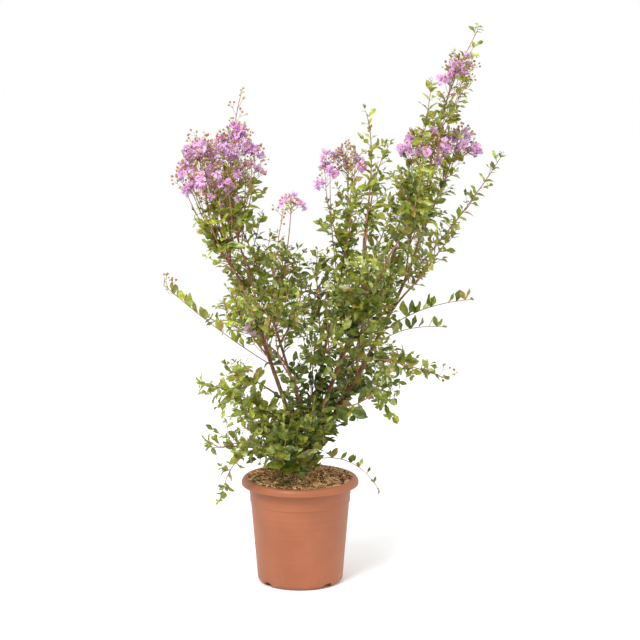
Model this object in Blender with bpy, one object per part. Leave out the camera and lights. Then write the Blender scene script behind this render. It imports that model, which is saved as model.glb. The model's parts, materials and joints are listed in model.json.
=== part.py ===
"""A young crape myrtle with several stems, in a nursery pot of terracotta-coloured plastic.

Metres, +Z up. The origin is the middle of the pot's flat underside. Seen from the front, along +Y,
the crown opens into a left and a right arm. Pot, potting mix, trunk and boughs come first. Each mass
of foliage is then one leafy shoot: a stem that leaves its bough, side twigs, leaves and, where it
flowers, a panicle. All of a mass's shapes are joined into one solid.
"""

import math
import random

import bmesh
import bpy
from mathutils import Matrix, Vector
from mathutils.bvhtree import BVHTree

# Pot
POT_HEIGHT = 0.272
RIM_RADIUS = 0.150
LIP_HEIGHT = 0.018
BAND_RADIUS = 0.1300
BAND_HEIGHT = 0.043
STEP = 0.0035
FOOT_RADIUS = 0.1085
FOOT_CHAMFER = 0.008
WALL = 0.003
FLOOR_RISE = 0.004
PAD_RADIUS = 0.028
FOOT_RING_WIDTH = 0.0145
UNDERSIDE_SLOPE = 0.004
FLOOR_TOP = 0.008
POT_SEGMENTS = 32
NOTCH_HEIGHT = 0.010
WIDE_NOTCH = 0.020
NARROW_NOTCH = 0.009
WIDE_NOTCH_ANGLES = (45, 135, 225, 315)
NARROW_NOTCH_ANGLES = (165, 345)

# Potting mix, level with the lip at its edge and mounded round the trunk
MIX_EDGE = 0.264
MIX_MOUND = 0.280
MIX_FLAT_RADIUS = 0.047
MIX_ROUGHNESS = 0.0015
MOUND_RINGS = 2

# Clearances
SEAT_GAP = 0.0003
CELL_MARGIN = 0.0015
LIMB_MARGIN = 0.0012
POT_MARGIN = 0.004

# Trunk
TRUNK_FOOT = Vector((0.012, 0.020, MIX_MOUND + SEAT_GAP))
TRUNK_TIP = Vector((0.015, 0.020, 0.335))
TRUNK_RADII = (0.0185, 0.0140, 0.0122, 0.0126, 0.0150)
ROOT_FLARE = 0.008
TRUNK_SIDES = 12
STEM_RING = 0.0094

# Twigs and leaves of the masses
TWIG_SIDES = 3
STEM_RADIUS = 0.0026
STEM_ROWS = 5
BOUGH_ROWS = 5
BASE_STEM_ROWS = 7
BASE_STEM_SIDES = 8
BOUGH_SIDES = 6
FINE_POINTS = 600
BARE_SHARE = 0.06
TOP_TWIG_SHARE = 0.86
TWIG_BARE_SHARE = 0.30
STEM_LEAF_SIZE = 0.92
TOP_TWIG_LEAF_SIZE = 0.80
STEM_TIP_RADIUS = 0.0018
TWIG_RADIUS = 0.0010
TWIG_TIP_RADIUS = 0.0008
STALK_FOOT_RADIUS = 0.0005
LEAF_LENGTH = 0.088
TIP_LEAF_SHARE = 0.60
LEAF_WIDTH = 0.58
LEAF_THICKNESS = 0.022
LEAF_FOLD = 0.07
LEAF_WIDEST = 0.46
LEAF_DROOP = 0.05
LEAF_LIFT = 0.12
LEAF_TO_SKY = 0.5
LEAF_LEAN = math.radians(48)
LEAF_STEP = 0.070
LEAF_TRIES = (1, 1, 1, 0.82, 0.82, 0.66)
TWIG_LEAN = math.radians(52)
TWIG_LIFT = 0.10
TWIG_TAPER = 0.45

# Flowers
BLOOM_RADIUS = 0.025
BLOOM_HEIGHT = 0.017
BLOOM_DEPTH = 0.48
RUFFLE = 0.79
PETALS = 6
PETAL_NOTCH = 0.52
BUD_RADIUS = 0.0058
BUD_LENGTH = 2.6
PANICLE_LENGTH = 0.11
LEAFLESS_PANICLE = 0.55
STALK_LENGTH = 0.020
STALK_SPREAD = 0.30
STALK_SINK = 0.003
STALK_OFFSET = 0.006

# Each limb leaves its parent at a share of the parent's length, passes a point half way and ends at its tip.
# A share of 1 carries the parent on. Radii are at the foot and the tip.
BOUGHS = {
    "left_stem": dict(parent="trunk", share=1, way=(-0.052, 0.018, 0.500), tip=(-0.110, 0.000, 0.675),
                      radii=(0.0058, 0.0044), ring=188),
    "right_stem": dict(parent="trunk", share=1, way=(0.084, -0.004, 0.523), tip=(0.154, -0.030, 0.711),
                       radii=(0.0062, 0.0046), ring=285),
    "far_stem": dict(parent="trunk", share=1, way=(0.137, 0.056, 0.505), tip=(0.240, 0.082, 0.705),
                     radii=(0.0058, 0.0044), ring=14),
    "centre_stem": dict(parent="trunk", share=1, way=(0.042, 0.072, 0.475), tip=(0.070, 0.103, 0.620),
                        radii=(0.0050, 0.0038), ring=100),
    "left_outer_bough": dict(parent="left_stem", share=1, way=(-0.132, -0.006, 0.735),
                             tip=(-0.158, -0.012, 0.795), radii=(0.0042, 0.0032)),
    "left_inner_bough": dict(parent="left_stem", share=0.84, way=(-0.114, 0.022, 0.735),
                             tip=(-0.126, 0.038, 0.800), radii=(0.0034, 0.0028)),
    "right_leader_bough": dict(parent="right_stem", share=1, way=(0.158, -0.045, 0.800),
                               tip=(0.160, -0.062, 0.890), radii=(0.0042, 0.0030)),
    "right_mid_bough": dict(parent="right_stem", share=0.72, way=(0.188, -0.066, 0.765),
                            tip=(0.216, -0.085, 0.845), radii=(0.0034, 0.0026)),
    "far_leader_bough": dict(parent="far_stem", share=1, way=(0.288, 0.096, 0.815),
                             tip=(0.318, 0.100, 0.925), radii=(0.0042, 0.0030)),
    "far_low_bough": dict(parent="far_stem", share=0.88, way=(0.245, 0.035, 0.712),
                          tip=(0.278, 0.000, 0.758), radii=(0.0032, 0.0025)),
    "back_stem": dict(parent="centre_stem", share=0.14, way=(-0.022, 0.115, 0.500),
                      tip=(-0.075, 0.170, 0.660), radii=(0.0040, 0.0032)),
    "back_right_stem": dict(parent="far_stem", share=0.24, way=(0.130, 0.140, 0.520),
                            tip=(0.170, 0.215, 0.660), radii=(0.0040, 0.0032)),
    "front_stem": dict(parent="right_stem", share=0.14, way=(0.008, -0.050, 0.455),
                       tip=(-0.012, -0.092, 0.540), radii=(0.0036, 0.0028)),
}

# The masses of foliage. Reach is the length of the longest side twigs, and bare the share of the stem
# below the first leaves. Blooms and buds sit in a panicle on the tip.
MASSES = {
    "left_outer_crown": dict(parent="left_outer_bough", share=1, way=(-0.222, -0.036, 0.955),
                             tip=(-0.258, -0.060, 1.115), reach=0.100, twigs=10, blooms=7, buds=3,
                             panicle=0.14),
    "left_inner_crown": dict(parent="left_inner_bough", share=1, way=(-0.164, 0.052, 1.010),
                             tip=(-0.148, 0.070, 1.235), reach=0.110, twigs=11, blooms=8, buds=6,
                             panicle=0.24),
    "left_bow_spray": dict(parent="left_stem", share=0.66, way=(-0.198, -0.074, 0.660),
                           tip=(-0.315, -0.148, 0.792), reach=0.0, twigs=0, blooms=0, buds=3,
                           bare=0.22, panicle=0.05),
    "left_centre_spray": dict(parent="left_stem", share=0.84, way=(-0.072, -0.062, 0.800),
                              tip=(-0.026, -0.130, 0.985), reach=0.090, twigs=6, blooms=3, buds=1,
                              panicle=0.06),
    "left_front_spray": dict(parent="left_stem", share=0.72, way=(-0.140, -0.078, 0.690),
                             tip=(-0.190, -0.130, 0.800), reach=0.080, twigs=6),
    "left_back_spray": dict(parent="left_stem", share=0.60, way=(-0.130, 0.085, 0.650),
                            tip=(-0.215, 0.140, 0.790), reach=0.080, twigs=6),
    "left_low_spray": dict(parent="left_stem", share=0.16, way=(-0.118, -0.072, 0.492),
                           tip=(-0.262, -0.185, 0.535), reach=0.050, twigs=5, bare=0.2),
    "left_low_upper_spray": dict(parent="left_stem", share=0.40, way=(-0.116, -0.062, 0.550),
                                 tip=(-0.182, -0.130, 0.625), reach=0.050, twigs=3, bare=0.25),
    "left_skirt": dict(parent="trunk", share=0.66, way=(-0.102, -0.072, 0.370),
                       tip=(-0.212, -0.170, 0.390), reach=0.080, twigs=6, bare=0.12),
    "left_hanging_spray": dict(parent="trunk", share=0.50, way=(-0.122, -0.122, 0.368),
                               tip=(-0.188, -0.200, 0.282), reach=0.030, twigs=2, bare=0.3),
    "front_crown": dict(parent="front_stem", share=1, way=(-0.028, -0.135, 0.630),
                        tip=(-0.042, -0.175, 0.735), reach=0.090, twigs=7),
    "front_skirt": dict(parent="trunk", share=0.52, way=(-0.012, -0.078, 0.350),
                        tip=(-0.055, -0.170, 0.375), reach=0.075, twigs=6, bare=0.15),
    "front_right_skirt": dict(parent="trunk", share=0.54, way=(0.052, -0.070, 0.350),
                              tip=(0.090, -0.150, 0.395), reach=0.075, twigs=6, bare=0.15),
    "centre_crown": dict(parent="centre_stem", share=1, way=(0.100, 0.128, 0.850),
                         tip=(0.106, 0.135, 1.095), reach=0.100, twigs=9, blooms=7, buds=3),
    "centre_small_spray": dict(parent="centre_stem", share=0.80, way=(0.044, 0.066, 0.720),
                               tip=(0.030, 0.015, 0.860), reach=0.090, twigs=6),
    "centre_low_spray": dict(parent="centre_stem", share=0.36, way=(0.016, 0.022, 0.500),
                             tip=(0.012, -0.015, 0.630), reach=0.080, twigs=6),
    "centre_front_spray": dict(parent="right_stem", share=0.50, way=(0.072, -0.090, 0.620),
                               tip=(0.070, -0.150, 0.760), reach=0.085, twigs=7, blooms=1),
    "right_leader_crown": dict(parent="right_leader_bough", share=1, way=(0.168, -0.085, 1.075),
                               tip=(0.182, -0.110, 1.250), reach=0.070, twigs=6),
    "right_mid_crown": dict(parent="right_mid_bough", share=1, way=(0.256, -0.128, 0.960),
                            tip=(0.250, -0.155, 1.085), reach=0.080, twigs=7),
    "right_twig_crown": dict(parent="right_leader_bough", share=0.62, way=(0.196, -0.015, 1.000),
                             tip=(0.226, 0.025, 1.140), reach=0.065, twigs=6),
    "upper_twig_crown": dict(parent="far_leader_bough", share=0.30, way=(0.280, 0.040, 1.040),
                             tip=(0.292, 0.020, 1.268), reach=0.070, twigs=6, blooms=6, buds=3,
                             panicle=0.12, flower_end=0.74),
    "far_leader_crown": dict(parent="far_leader_bough", share=1, way=(0.382, 0.104, 1.155),
                             tip=(0.430, 0.086, 1.384), reach=0.075, twigs=8, blooms=8, buds=4,
                             panicle=0.17, flower_end=0.86),
    "far_side_flowers": dict(parent="far_leader_bough", share=0.76, way=(0.398, 0.140, 1.000),
                             tip=(0.448, 0.160, 1.110), reach=0.060, twigs=5, blooms=5, buds=3),
    "right_outer_crown": dict(parent="far_leader_bough", share=0.26, way=(0.412, 0.168, 0.910),
                              tip=(0.508, 0.215, 1.075), reach=0.045, twigs=5, bare=0.15),
    "right_low_crown": dict(parent="far_low_bough", share=1, way=(0.336, -0.042, 0.835),
                            tip=(0.392, -0.075, 0.925), reach=0.060, twigs=5),
    "right_thin_spray": dict(parent="far_stem", share=0.80, way=(0.310, -0.015, 0.708),
                             tip=(0.412, -0.110, 0.755), reach=0.0, twigs=0, bare=0.3),
    "right_thin_back_spray": dict(parent="far_stem", share=0.62, way=(0.278, 0.145, 0.618),
                                  tip=(0.375, 0.212, 0.634), reach=0.0, twigs=0, bare=0.3),
    "right_bough_spray": dict(parent="right_stem", share=0.66, way=(0.244, -0.110, 0.618),
                              tip=(0.390, -0.195, 0.590), reach=0.065, twigs=7, buds=4, bare=0.15,
                              panicle=0.05),
    "right_down_spray": dict(parent="far_stem", share=0.30, way=(0.184, 0.112, 0.470),
                             tip=(0.258, 0.172, 0.400), reach=0.050, twigs=4, bare=0.25),
    "right_trailing_spray": dict(parent="trunk", share=0.45, way=(0.118, -0.058, 0.332),
                                 tip=(0.190, -0.115, 0.282), reach=0.0, twigs=0, bare=0.35),
    "right_middle_spray": dict(parent="far_stem", share=0.52, way=(0.172, 0.010, 0.640),
                               tip=(0.186, -0.030, 0.750), reach=0.070, twigs=6),
    "right_inner_spray": dict(parent="far_stem", share=0.94, way=(0.228, 0.050, 0.830),
                              tip=(0.232, 0.000, 0.935), reach=0.080, twigs=6),
    "right_front_spray": dict(parent="right_stem", share=0.58, way=(0.140, -0.110, 0.710),
                              tip=(0.170, -0.195, 0.855), reach=0.090, twigs=7),
    "right_low_front_spray": dict(parent="right_stem", share=0.36, way=(0.132, -0.082, 0.490),
                                  tip=(0.188, -0.150, 0.525), reach=0.080, twigs=6),
    "back_left_crown": dict(parent="back_stem", share=1, way=(-0.112, 0.215, 0.815),
                            tip=(-0.135, 0.240, 0.985), reach=0.090, twigs=6, blooms=3, buds=2),
    "back_centre_crown": dict(parent="back_stem", share=0.78, way=(-0.012, 0.210, 0.720),
                              tip=(0.020, 0.260, 0.880), reach=0.090, twigs=6),
    "back_right_crown": dict(parent="back_right_stem", share=1, way=(0.205, 0.260, 0.810),
                             tip=(0.225, 0.285, 1.000), reach=0.090, twigs=6, blooms=3, buds=2),
    "back_right_low_spray": dict(parent="back_right_stem", share=0.58, way=(0.215, 0.242, 0.560),
                                 tip=(0.280, 0.310, 0.620), reach=0.070, twigs=5),
    "back_skirt": dict(parent="trunk", share=0.66, way=(-0.052, 0.112, 0.366),
                       tip=(-0.090, 0.232, 0.425), reach=0.080, twigs=5, bare=0.12),
    "back_left_low_spray": dict(parent="back_stem", share=0.48, way=(-0.128, 0.160, 0.540),
                                tip=(-0.205, 0.235, 0.600), reach=0.080, twigs=5),
}

COLOURS = {
    "pot": (0.55, 0.21, 0.11, 0.55),
    "potting_mix": (0.24, 0.13, 0.06, 0.95),
    "bark": (0.25, 0.12, 0.07, 0.80),
    "foliage": (0.14, 0.26, 0.04, 0.55),
}


def material(name):
    made = bpy.data.materials.new(name)
    made.use_nodes = True
    *colour, roughness = COLOURS[name]
    shader = made.node_tree.nodes["Principled BSDF"]
    shader.inputs["Base Color"].default_value = (*colour, 1)
    shader.inputs["Roughness"].default_value = roughness
    shader.inputs["Metallic"].default_value = 0
    made.diffuse_color = (*colour, 1)
    return made


def solid(name, shape, finish, collection=None):
    """An object from (points, faces)."""
    points, faces = shape
    mesh = bpy.data.meshes.new(name)
    mesh.from_pydata(points, [], faces)
    mesh.update()
    made = bpy.data.objects.new(name, mesh)
    mesh.materials.append(finish)
    (collection or bpy.context.scene.collection).objects.link(made)
    return made


# Pot and potting mix


def turned(name, profile, finish):
    """A profile of (radius, height) points, the first and last on the axis, spun round it."""
    build = bmesh.new()
    outline = [build.verts.new((radius, 0, height)) for radius, height in profile]
    edges = [build.edges.new(pair) for pair in zip(outline, outline[1:])]
    bmesh.ops.spin(build, geom=outline + edges, cent=(0, 0, 0), axis=(0, 0, 1),
                   angle=math.tau, steps=POT_SEGMENTS, use_merge=True)
    bmesh.ops.remove_doubles(build, verts=build.verts, dist=1e-6)
    bmesh.ops.recalc_face_normals(build, faces=build.faces)
    mesh = bpy.data.meshes.new(name)
    build.to_mesh(mesh)
    build.free()
    mesh.materials.append(finish)
    made = bpy.data.objects.new(name, mesh)
    bpy.context.scene.collection.objects.link(made)
    return made


def pot_wall(height):
    """The outer radius of the pot's plain wall, which tapers evenly from the band's step to the foot."""
    top = POT_HEIGHT - LIP_HEIGHT - BAND_HEIGHT
    share = height / top
    return FOOT_RADIUS + (BAND_RADIUS - STEP - FOOT_RADIUS) * share


def pot_profile():
    """From the middle of the underside, up the wall, over the hollow lip and down inside to the floor."""
    lip_under = POT_HEIGHT - LIP_HEIGHT
    step_top = lip_under - BAND_HEIGHT
    overhang = RIM_RADIUS - BAND_RADIUS
    foot_edge = FOOT_RADIUS - FOOT_CHAMFER
    ring_inside = foot_edge - FOOT_RING_WIDTH
    underside = [
        (0, 0), (PAD_RADIUS, 0), (PAD_RADIUS + UNDERSIDE_SLOPE, FLOOR_RISE),
        (ring_inside - UNDERSIDE_SLOPE, FLOOR_RISE), (ring_inside, 0), (foot_edge, 0),
    ]
    wall = [
        (pot_wall(FOOT_CHAMFER), FOOT_CHAMFER), (pot_wall(step_top - STEP), step_top - STEP),
        (BAND_RADIUS - 0.0005, step_top), (BAND_RADIUS, POT_HEIGHT - 1.6 * WALL),
    ]
    lip = [
        (RIM_RADIUS - 0.45 * overhang, POT_HEIGHT - 1.6 * WALL),
        (RIM_RADIUS - WALL, lip_under + 0.35 * LIP_HEIGHT), (RIM_RADIUS - WALL, lip_under),
        (RIM_RADIUS - 0.0005, lip_under), (RIM_RADIUS, lip_under + 0.4 * LIP_HEIGHT),
        (RIM_RADIUS - 0.3 * overhang, POT_HEIGHT - 0.0015), (RIM_RADIUS - 0.6 * overhang, POT_HEIGHT),
    ]
    inside = [
        (BAND_RADIUS - WALL, POT_HEIGHT - WALL), (BAND_RADIUS - WALL - 0.0005, step_top),
        (pot_wall(step_top - STEP) - WALL, step_top - STEP), (pot_wall(FLOOR_TOP) - WALL, FLOOR_TOP),
        (0, FLOOR_TOP),
    ]
    return underside + wall + lip + inside


def pot(finish):
    made = turned("pot", pot_profile(), finish)
    cuts = [(angle, WIDE_NOTCH) for angle in WIDE_NOTCH_ANGLES]
    cuts += [(angle, NARROW_NOTCH) for angle in NARROW_NOTCH_ANGLES]
    for number, (angle, width) in enumerate(cuts):
        cutter = bpy.data.meshes.new("drain_cutter")
        build = bmesh.new()
        bmesh.ops.create_cube(build, size=1)
        build.to_mesh(cutter)
        build.free()
        turn = Matrix.Rotation(math.radians(angle), 4, "Z")
        place = Matrix.Translation((FOOT_RADIUS - 0.004, 0, NOTCH_HEIGHT / 2 - 0.002))
        size = Matrix.Diagonal((0.036, width, NOTCH_HEIGHT + 0.004, 1))
        cutter.transform(turn @ place @ size)
        tool = bpy.data.objects.new(f"drain_cutter_{number}", cutter)
        tool.hide_render = True
        tool.display_type = "WIRE"
        bpy.context.scene.collection.objects.link(tool)
        cut = made.modifiers.new(f"drain_{number}", "BOOLEAN")
        cut.object = tool
        cut.operation = "DIFFERENCE"
    return made


def potting_mix(finish):
    """Fills the pot, a seat gap clear of it, with a low mound whose top is rough past a flat middle."""
    step_top = POT_HEIGHT - LIP_HEIGHT - BAND_HEIGHT
    clear = WALL + SEAT_GAP
    rim = BAND_RADIUS - clear - 0.0002
    profile = [
        (0, FLOOR_TOP + SEAT_GAP), (pot_wall(FLOOR_TOP) - clear - 0.0002, FLOOR_TOP + SEAT_GAP),
        (pot_wall(step_top - STEP) - clear, step_top - STEP + 0.0002),
        (BAND_RADIUS - clear - 0.0005, step_top + 0.0002), (rim, MIX_EDGE),
    ]
    for ring in range(1, MOUND_RINGS + 1):
        share = ring / MOUND_RINGS
        height = MIX_EDGE + (MIX_MOUND - MIX_EDGE) * math.sin(share * math.pi / 2)
        profile.append((rim + (MIX_FLAT_RADIUS - rim) * share, height))
    profile.append((0, MIX_MOUND))
    made = turned("potting_mix", profile, finish)
    lumps = random.Random("potting_mix")
    for vertex in made.data.vertices:
        out = math.hypot(vertex.co.x, vertex.co.y)
        if vertex.co.z > MIX_EDGE + 0.001 and out > MIX_FLAT_RADIUS + 0.002:
            vertex.co.z += lumps.uniform(-1, 1) * MIX_ROUGHNESS
    return made


# Limbs


def curve(foot, way, tip, count):
    """Points of the parabola from foot to tip that passes way at its middle."""
    foot, way, tip = Vector(foot), Vector(way), Vector(tip)
    control = 2 * way - (foot + tip) / 2
    points = []
    for step in range(count):
        t = step / (count - 1)
        points.append(foot * (1 - t) ** 2 + control * 2 * t * (1 - t) + tip * t ** 2)
    return points


def spread_radii(first, last, count):
    return [first + (last - first) * k / (count - 1) for k in range(count)]


def directions(points):
    ahead = [b - a for a, b in zip(points, points[1:])]
    turned_at = [ahead[0]] + [a.normalized() + b.normalized() for a, b in zip(ahead, ahead[1:])] + [ahead[-1]]
    return [d.normalized() for d in turned_at]


def across(direction):
    """A unit vector square to direction, as level as can be."""
    side = direction.cross(Vector((0, 0, 1)))
    if side.length < 0.1:
        side = direction.cross(Vector((0, 1, 0)))
    return side.normalized()


def tube(points, radii, sides, seat=None):
    """A closed tapering tube along points, as (points, faces). Its foot is cut to the seat's plane."""
    rings, previous = [], None
    for place, direction, radius in zip(points, directions(points), radii):
        side = across(direction)
        if previous is not None:
            side = (previous - direction * previous.dot(direction)).normalized()
        previous = side
        up = direction.cross(side)
        for k in range(sides):
            angle = math.tau * k / sides
            rings.append(place + (side * math.cos(angle) + up * math.sin(angle)) * radius)
    if seat is not None:
        ahead = (points[1] - points[0]).normalized()
        for k in range(sides):
            rings[k] += ahead * ((seat.place - rings[k]).dot(seat.normal) / ahead.dot(seat.normal))
    faces = []
    for ring in range(len(points) - 1):
        for k in range(sides):
            a, b = ring * sides + k, ring * sides + (k + 1) % sides
            faces.append((a, b, b + sides, a + sides))
    faces.append(tuple(reversed(range(sides))))
    last = (len(points) - 1) * sides
    faces.append(tuple(range(last, last + sides)))
    return rings, faces


def along(points, share):
    """The point and direction at a share of the way along a line of points."""
    lengths = [(b - a).length for a, b in zip(points, points[1:])]
    left = share * sum(lengths)
    for a, b, length in zip(points, points[1:], lengths):
        if left <= length:
            return a.lerp(b, left / length), (b - a).normalized()
        left -= length
    return points[-1].copy(), (points[-1] - points[-2]).normalized()


def distance_to_line(place, points):
    """The distance from place to a line of points."""
    nearest = math.inf
    for a, b in zip(points, points[1:]):
        step = b - a
        share = max(0, min(1, (place - a).dot(step) / step.length_squared))
        nearest = min(nearest, (place - a - step * share).length)
    return nearest


class Seat:
    """A plane that a limb's foot is cut to, a seat gap clear of what carries the limb."""

    def __init__(self, place, normal):
        self.place = place
        self.normal = normal

    def height(self, place):
        return (place - self.place).dot(self.normal)


class Limb:
    """A tapering limb: its line of points, its radii and its seat."""

    def __init__(self, points, radii, seat):
        self.points = points
        self.radii = radii
        self.seat = seat

    def radius_at(self, share):
        place = share * (len(self.radii) - 1)
        k = min(int(place), len(self.radii) - 2)
        return self.radii[k] + (self.radii[k + 1] - self.radii[k]) * (place - k)

    def widest_near(self, share, reach):
        """The largest radius within reach of a share of the way up."""
        length = sum((b - a).length for a, b in zip(self.points, self.points[1:]))
        shares = (share - reach / length, share, share + reach / length)
        return max(self.radius_at(max(0, min(1, near))) for near in shares)

    def shape(self, sides):
        return tube(self.points, self.radii, sides, self.seat)


def seated_limb(parent, row, foot_radius, tip_radius, rows):
    """A limb that stands on its parent's flat end, or on its side towards the limb's own first stretch."""
    base, heading = along(parent.points, row["share"])
    start = base.copy()
    if "ring" in row:
        angle = math.radians(row["ring"])
        start += Vector((math.cos(angle), math.sin(angle), 0)) * STEM_RING
    fine = curve(start, row["way"], row["tip"], FINE_POINTS)
    if row["share"] == 1:
        seat = Seat(base + heading * SEAT_GAP, heading)
    else:
        lead = fine[FINE_POINTS // 10] - base
        out = (lead - heading * lead.dot(heading)).normalized()
        seat = Seat(base + out * (parent.widest_near(row["share"], foot_radius) + SEAT_GAP), out)
    first = next(k for k in range(FINE_POINTS) if seat.height(fine[k]) >= 0)
    line = [along(fine[first:], step / (rows - 1))[0] for step in range(rows)]
    return Limb(line, spread_radii(foot_radius, tip_radius, rows), seat)


def trunk_limb():
    count = len(TRUNK_RADII)
    points = [TRUNK_FOOT.lerp(TRUNK_TIP, k / (count - 1)) for k in range(count)]
    points[1].z = TRUNK_FOOT.z + ROOT_FLARE
    return Limb(points, list(TRUNK_RADII), Seat(TRUNK_FOOT, Vector((0, 0, 1))))


def grow_limbs():
    limbs = {"trunk": trunk_limb()}
    for name, row in BOUGHS.items():
        rows = BASE_STEM_ROWS if row["parent"] == "trunk" else BOUGH_ROWS
        limbs[name] = seated_limb(limbs[row["parent"]], row, *row["radii"], rows)
    return limbs


# Foliage


def leaf(root, direction, normal, length):
    """A blade of 6 faces, pointed at both ends, with its midrib as a keel underneath."""
    side = direction.cross(normal).normalized()
    middle = root + direction * (length * LEAF_WIDEST)
    edge = side * (length * LEAF_WIDTH / 2)
    lift = normal * (length * LEAF_FOLD)
    tip = root + direction * length - normal * (length * LEAF_DROOP)
    keel = middle - normal * (length * LEAF_THICKNESS)
    points = [root, tip, middle - edge + lift, middle + edge + lift, keel]
    faces = [(0, 3, 2), (1, 2, 3), (0, 2, 4), (0, 4, 3), (1, 4, 2), (1, 3, 4)]
    return points, faces


def bloom(stalk_end, direction, radius):
    """A ruffled star, one lobe for each petal, as a shallow closed cup. The stalk enters one face."""
    side = across(direction)
    up = direction.cross(side)
    wedge = math.pi / (2 * PETALS)
    inward = side * math.cos(wedge) + up * math.sin(wedge)
    root = stalk_end - inward * STALK_OFFSET - direction * (0.9 * STALK_OFFSET)
    heart = root + direction * (BLOOM_HEIGHT * BLOOM_DEPTH)
    points = [root, heart]
    for k in range(2 * PETALS):
        angle = math.tau * k / (2 * PETALS)
        out = radius * (1 if k % 2 == 0 else PETAL_NOTCH)
        lift = BLOOM_HEIGHT * (RUFFLE if k % 4 == 0 else 1)
        points.append(root + (side * math.cos(angle) + up * math.sin(angle)) * out + direction * lift)
    faces = []
    for k in range(2 * PETALS):
        a, b = 2 + k, 2 + (k + 1) % (2 * PETALS)
        faces += [(0, b, a), (1, a, b)]
    return points, faces


def bud(place, end, heading):
    """A pointed bud on its stalk, in one tube."""
    belly = end + heading * (0.4 * BUD_LENGTH * BUD_RADIUS)
    tip = end + heading * (BUD_LENGTH * BUD_RADIUS)
    radii = [STALK_FOOT_RADIUS, TWIG_TIP_RADIUS, BUD_RADIUS, STALK_FOOT_RADIUS]
    return tube([place, end, belly, tip], radii, TWIG_SIDES)


class Cells:
    """Keeps each mass in its own space: nearer to its stem than to any other, off the limbs and the pot."""

    def __init__(self, stems, limbs):
        self.lines = {name: stem.points for name, stem in stems.items()}
        wide = [(limb.points, [radius + LIMB_MARGIN for radius in limb.radii]) for limb in limbs.values()]
        self.limbs = [BVHTree.FromPolygons(*tube(points, radii, 8)) for points, radii in wide]

    def holds(self, name, shape):
        tree = BVHTree.FromPolygons(*shape)
        if any(tree.overlap(limb) for limb in self.limbs):
            return False
        return all(self.holds_point(name, place) for place in samples(shape)[1:])

    def holds_point(self, name, place):
        if math.hypot(place.x, place.y) < RIM_RADIUS + POT_MARGIN and place.z < MIX_MOUND + POT_MARGIN:
            return False
        own = distance_to_line(place, self.lines[name]) + CELL_MARGIN
        others = (line for other, line in self.lines.items() if other != name)
        return all(distance_to_line(place, line) > own for line in others)


def samples(shape):
    """A shape's corners and the middles of its long edges."""
    points, faces = shape
    middles = [(points[a] + points[b]) / 2 for face in faces for a, b in zip(face, face[1:])]
    return points + middles


class Shoot:
    """A three-sided twig. What grows on it leaves through the middle of a face, for a plain joint."""

    def __init__(self, points, radii, seat=None):
        self.points = points
        self.shape = tube(points, radii, TWIG_SIDES, seat)
        self.length = sum((b - a).length for a, b in zip(points, points[1:]))

    def leave(self, share, face, turn):
        """The point at a share of the way up, the shoot's direction there and the way out through a face."""
        place, direction = along(self.points, share)
        ring = round(share * (len(self.points) - 1))
        corners = self.shape[0][ring * TWIG_SIDES:(ring + 1) * TWIG_SIDES]
        pair = corners[face % TWIG_SIDES] + corners[(face + 1) % TWIG_SIDES]
        out = pair / 2 - self.points[ring]
        out = (out - direction * out.dot(direction)).normalized()
        return place, direction, out * math.cos(turn) + direction.cross(out) * math.sin(turn)


def leaf_at(place, direction, out, length, chance):
    """A leaf that leaves its twig sideways, leans towards the twig's tip and turns its face to the sky."""
    lean = LEAF_LEAN + chance.uniform(-0.2, 0.2)
    heading = (direction * math.cos(lean) + out * math.sin(lean) + Vector((0, 0, LEAF_LIFT))).normalized()
    face = direction * math.sin(lean) - out * math.cos(lean) + Vector((0, 0, LEAF_TO_SKY))
    return leaf(place, heading, (face - heading * face.dot(heading)).normalized(), length)


def leaves_on(shoot, first, last, chance, size, fits):
    """Leaves along a shoot, smaller towards its tip. Each is the largest of a few tries that fits."""
    count = max(1, round(shoot.length * (last - first) / (LEAF_STEP * size)))
    shares = [first + (last - first) * (k + 0.5) / count for k in range(count)]
    if last == 1:
        shares.append(0.99)
    rank = chance.randrange(TWIG_SIDES)
    for number, share in enumerate(shares):
        length = LEAF_LENGTH * size * (1 + (TIP_LEAF_SHARE - 1) * share) * chance.uniform(0.88, 1.08)
        for attempt, shrink in enumerate(LEAF_TRIES):
            place, direction, out = shoot.leave(share, rank + number + attempt, chance.uniform(-0.25, 0.25))
            blade = leaf_at(place, direction, out, length * shrink, chance)
            if fits(blade, shoot):
                yield blade
                break


def side_twig(stem, share, face, length, chance):
    """A straight twig that leaves the stem sideways and leans up towards the light."""
    place, direction, out = stem.leave(share, face, chance.uniform(-0.35, 0.35))
    lean = TWIG_LEAN + chance.uniform(-0.15, 0.15)
    heading = (direction * math.cos(lean) + out * math.sin(lean)).normalized()
    tip = place + (heading + Vector((0, 0, TWIG_LIFT))) * length
    return Shoot([place, tip], (TWIG_RADIUS, TWIG_TIP_RADIUS))


def panicle(stem, row, chance):
    """Blooms and buds on short stalks round the stem's last stretch, as lists of shapes."""
    size = row.get("panicle", PANICLE_LENGTH)
    kinds = ["bloom"] * row.get("blooms", 0) + ["bud"] * row.get("buds", 0)
    chance.shuffle(kinds)
    rank = chance.randrange(TWIG_SIDES)
    flowers = []
    for k, kind in enumerate(kinds):
        down = 1 - (k + 0.7) / len(kinds)
        share = row.get("flower_end", 1) - down * size / stem.length
        place, direction, out = stem.leave(share, rank + k, chance.uniform(-0.4, 0.4))
        heading = (direction * 0.75 + out).normalized()
        end = place + heading * (STALK_LENGTH + STALK_SPREAD * size * down) * chance.uniform(0.85, 1.1)
        if kind == "bud":
            flowers.append([bud(place, end, heading)])
            continue
        stalk = tube([place, end + heading * STALK_SINK], [STALK_FOOT_RADIUS, TWIG_TIP_RADIUS], TWIG_SIDES)
        flowers.append([stalk, bloom(end, heading, BLOOM_RADIUS * chance.uniform(0.85, 1.1))])
    return flowers


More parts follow.
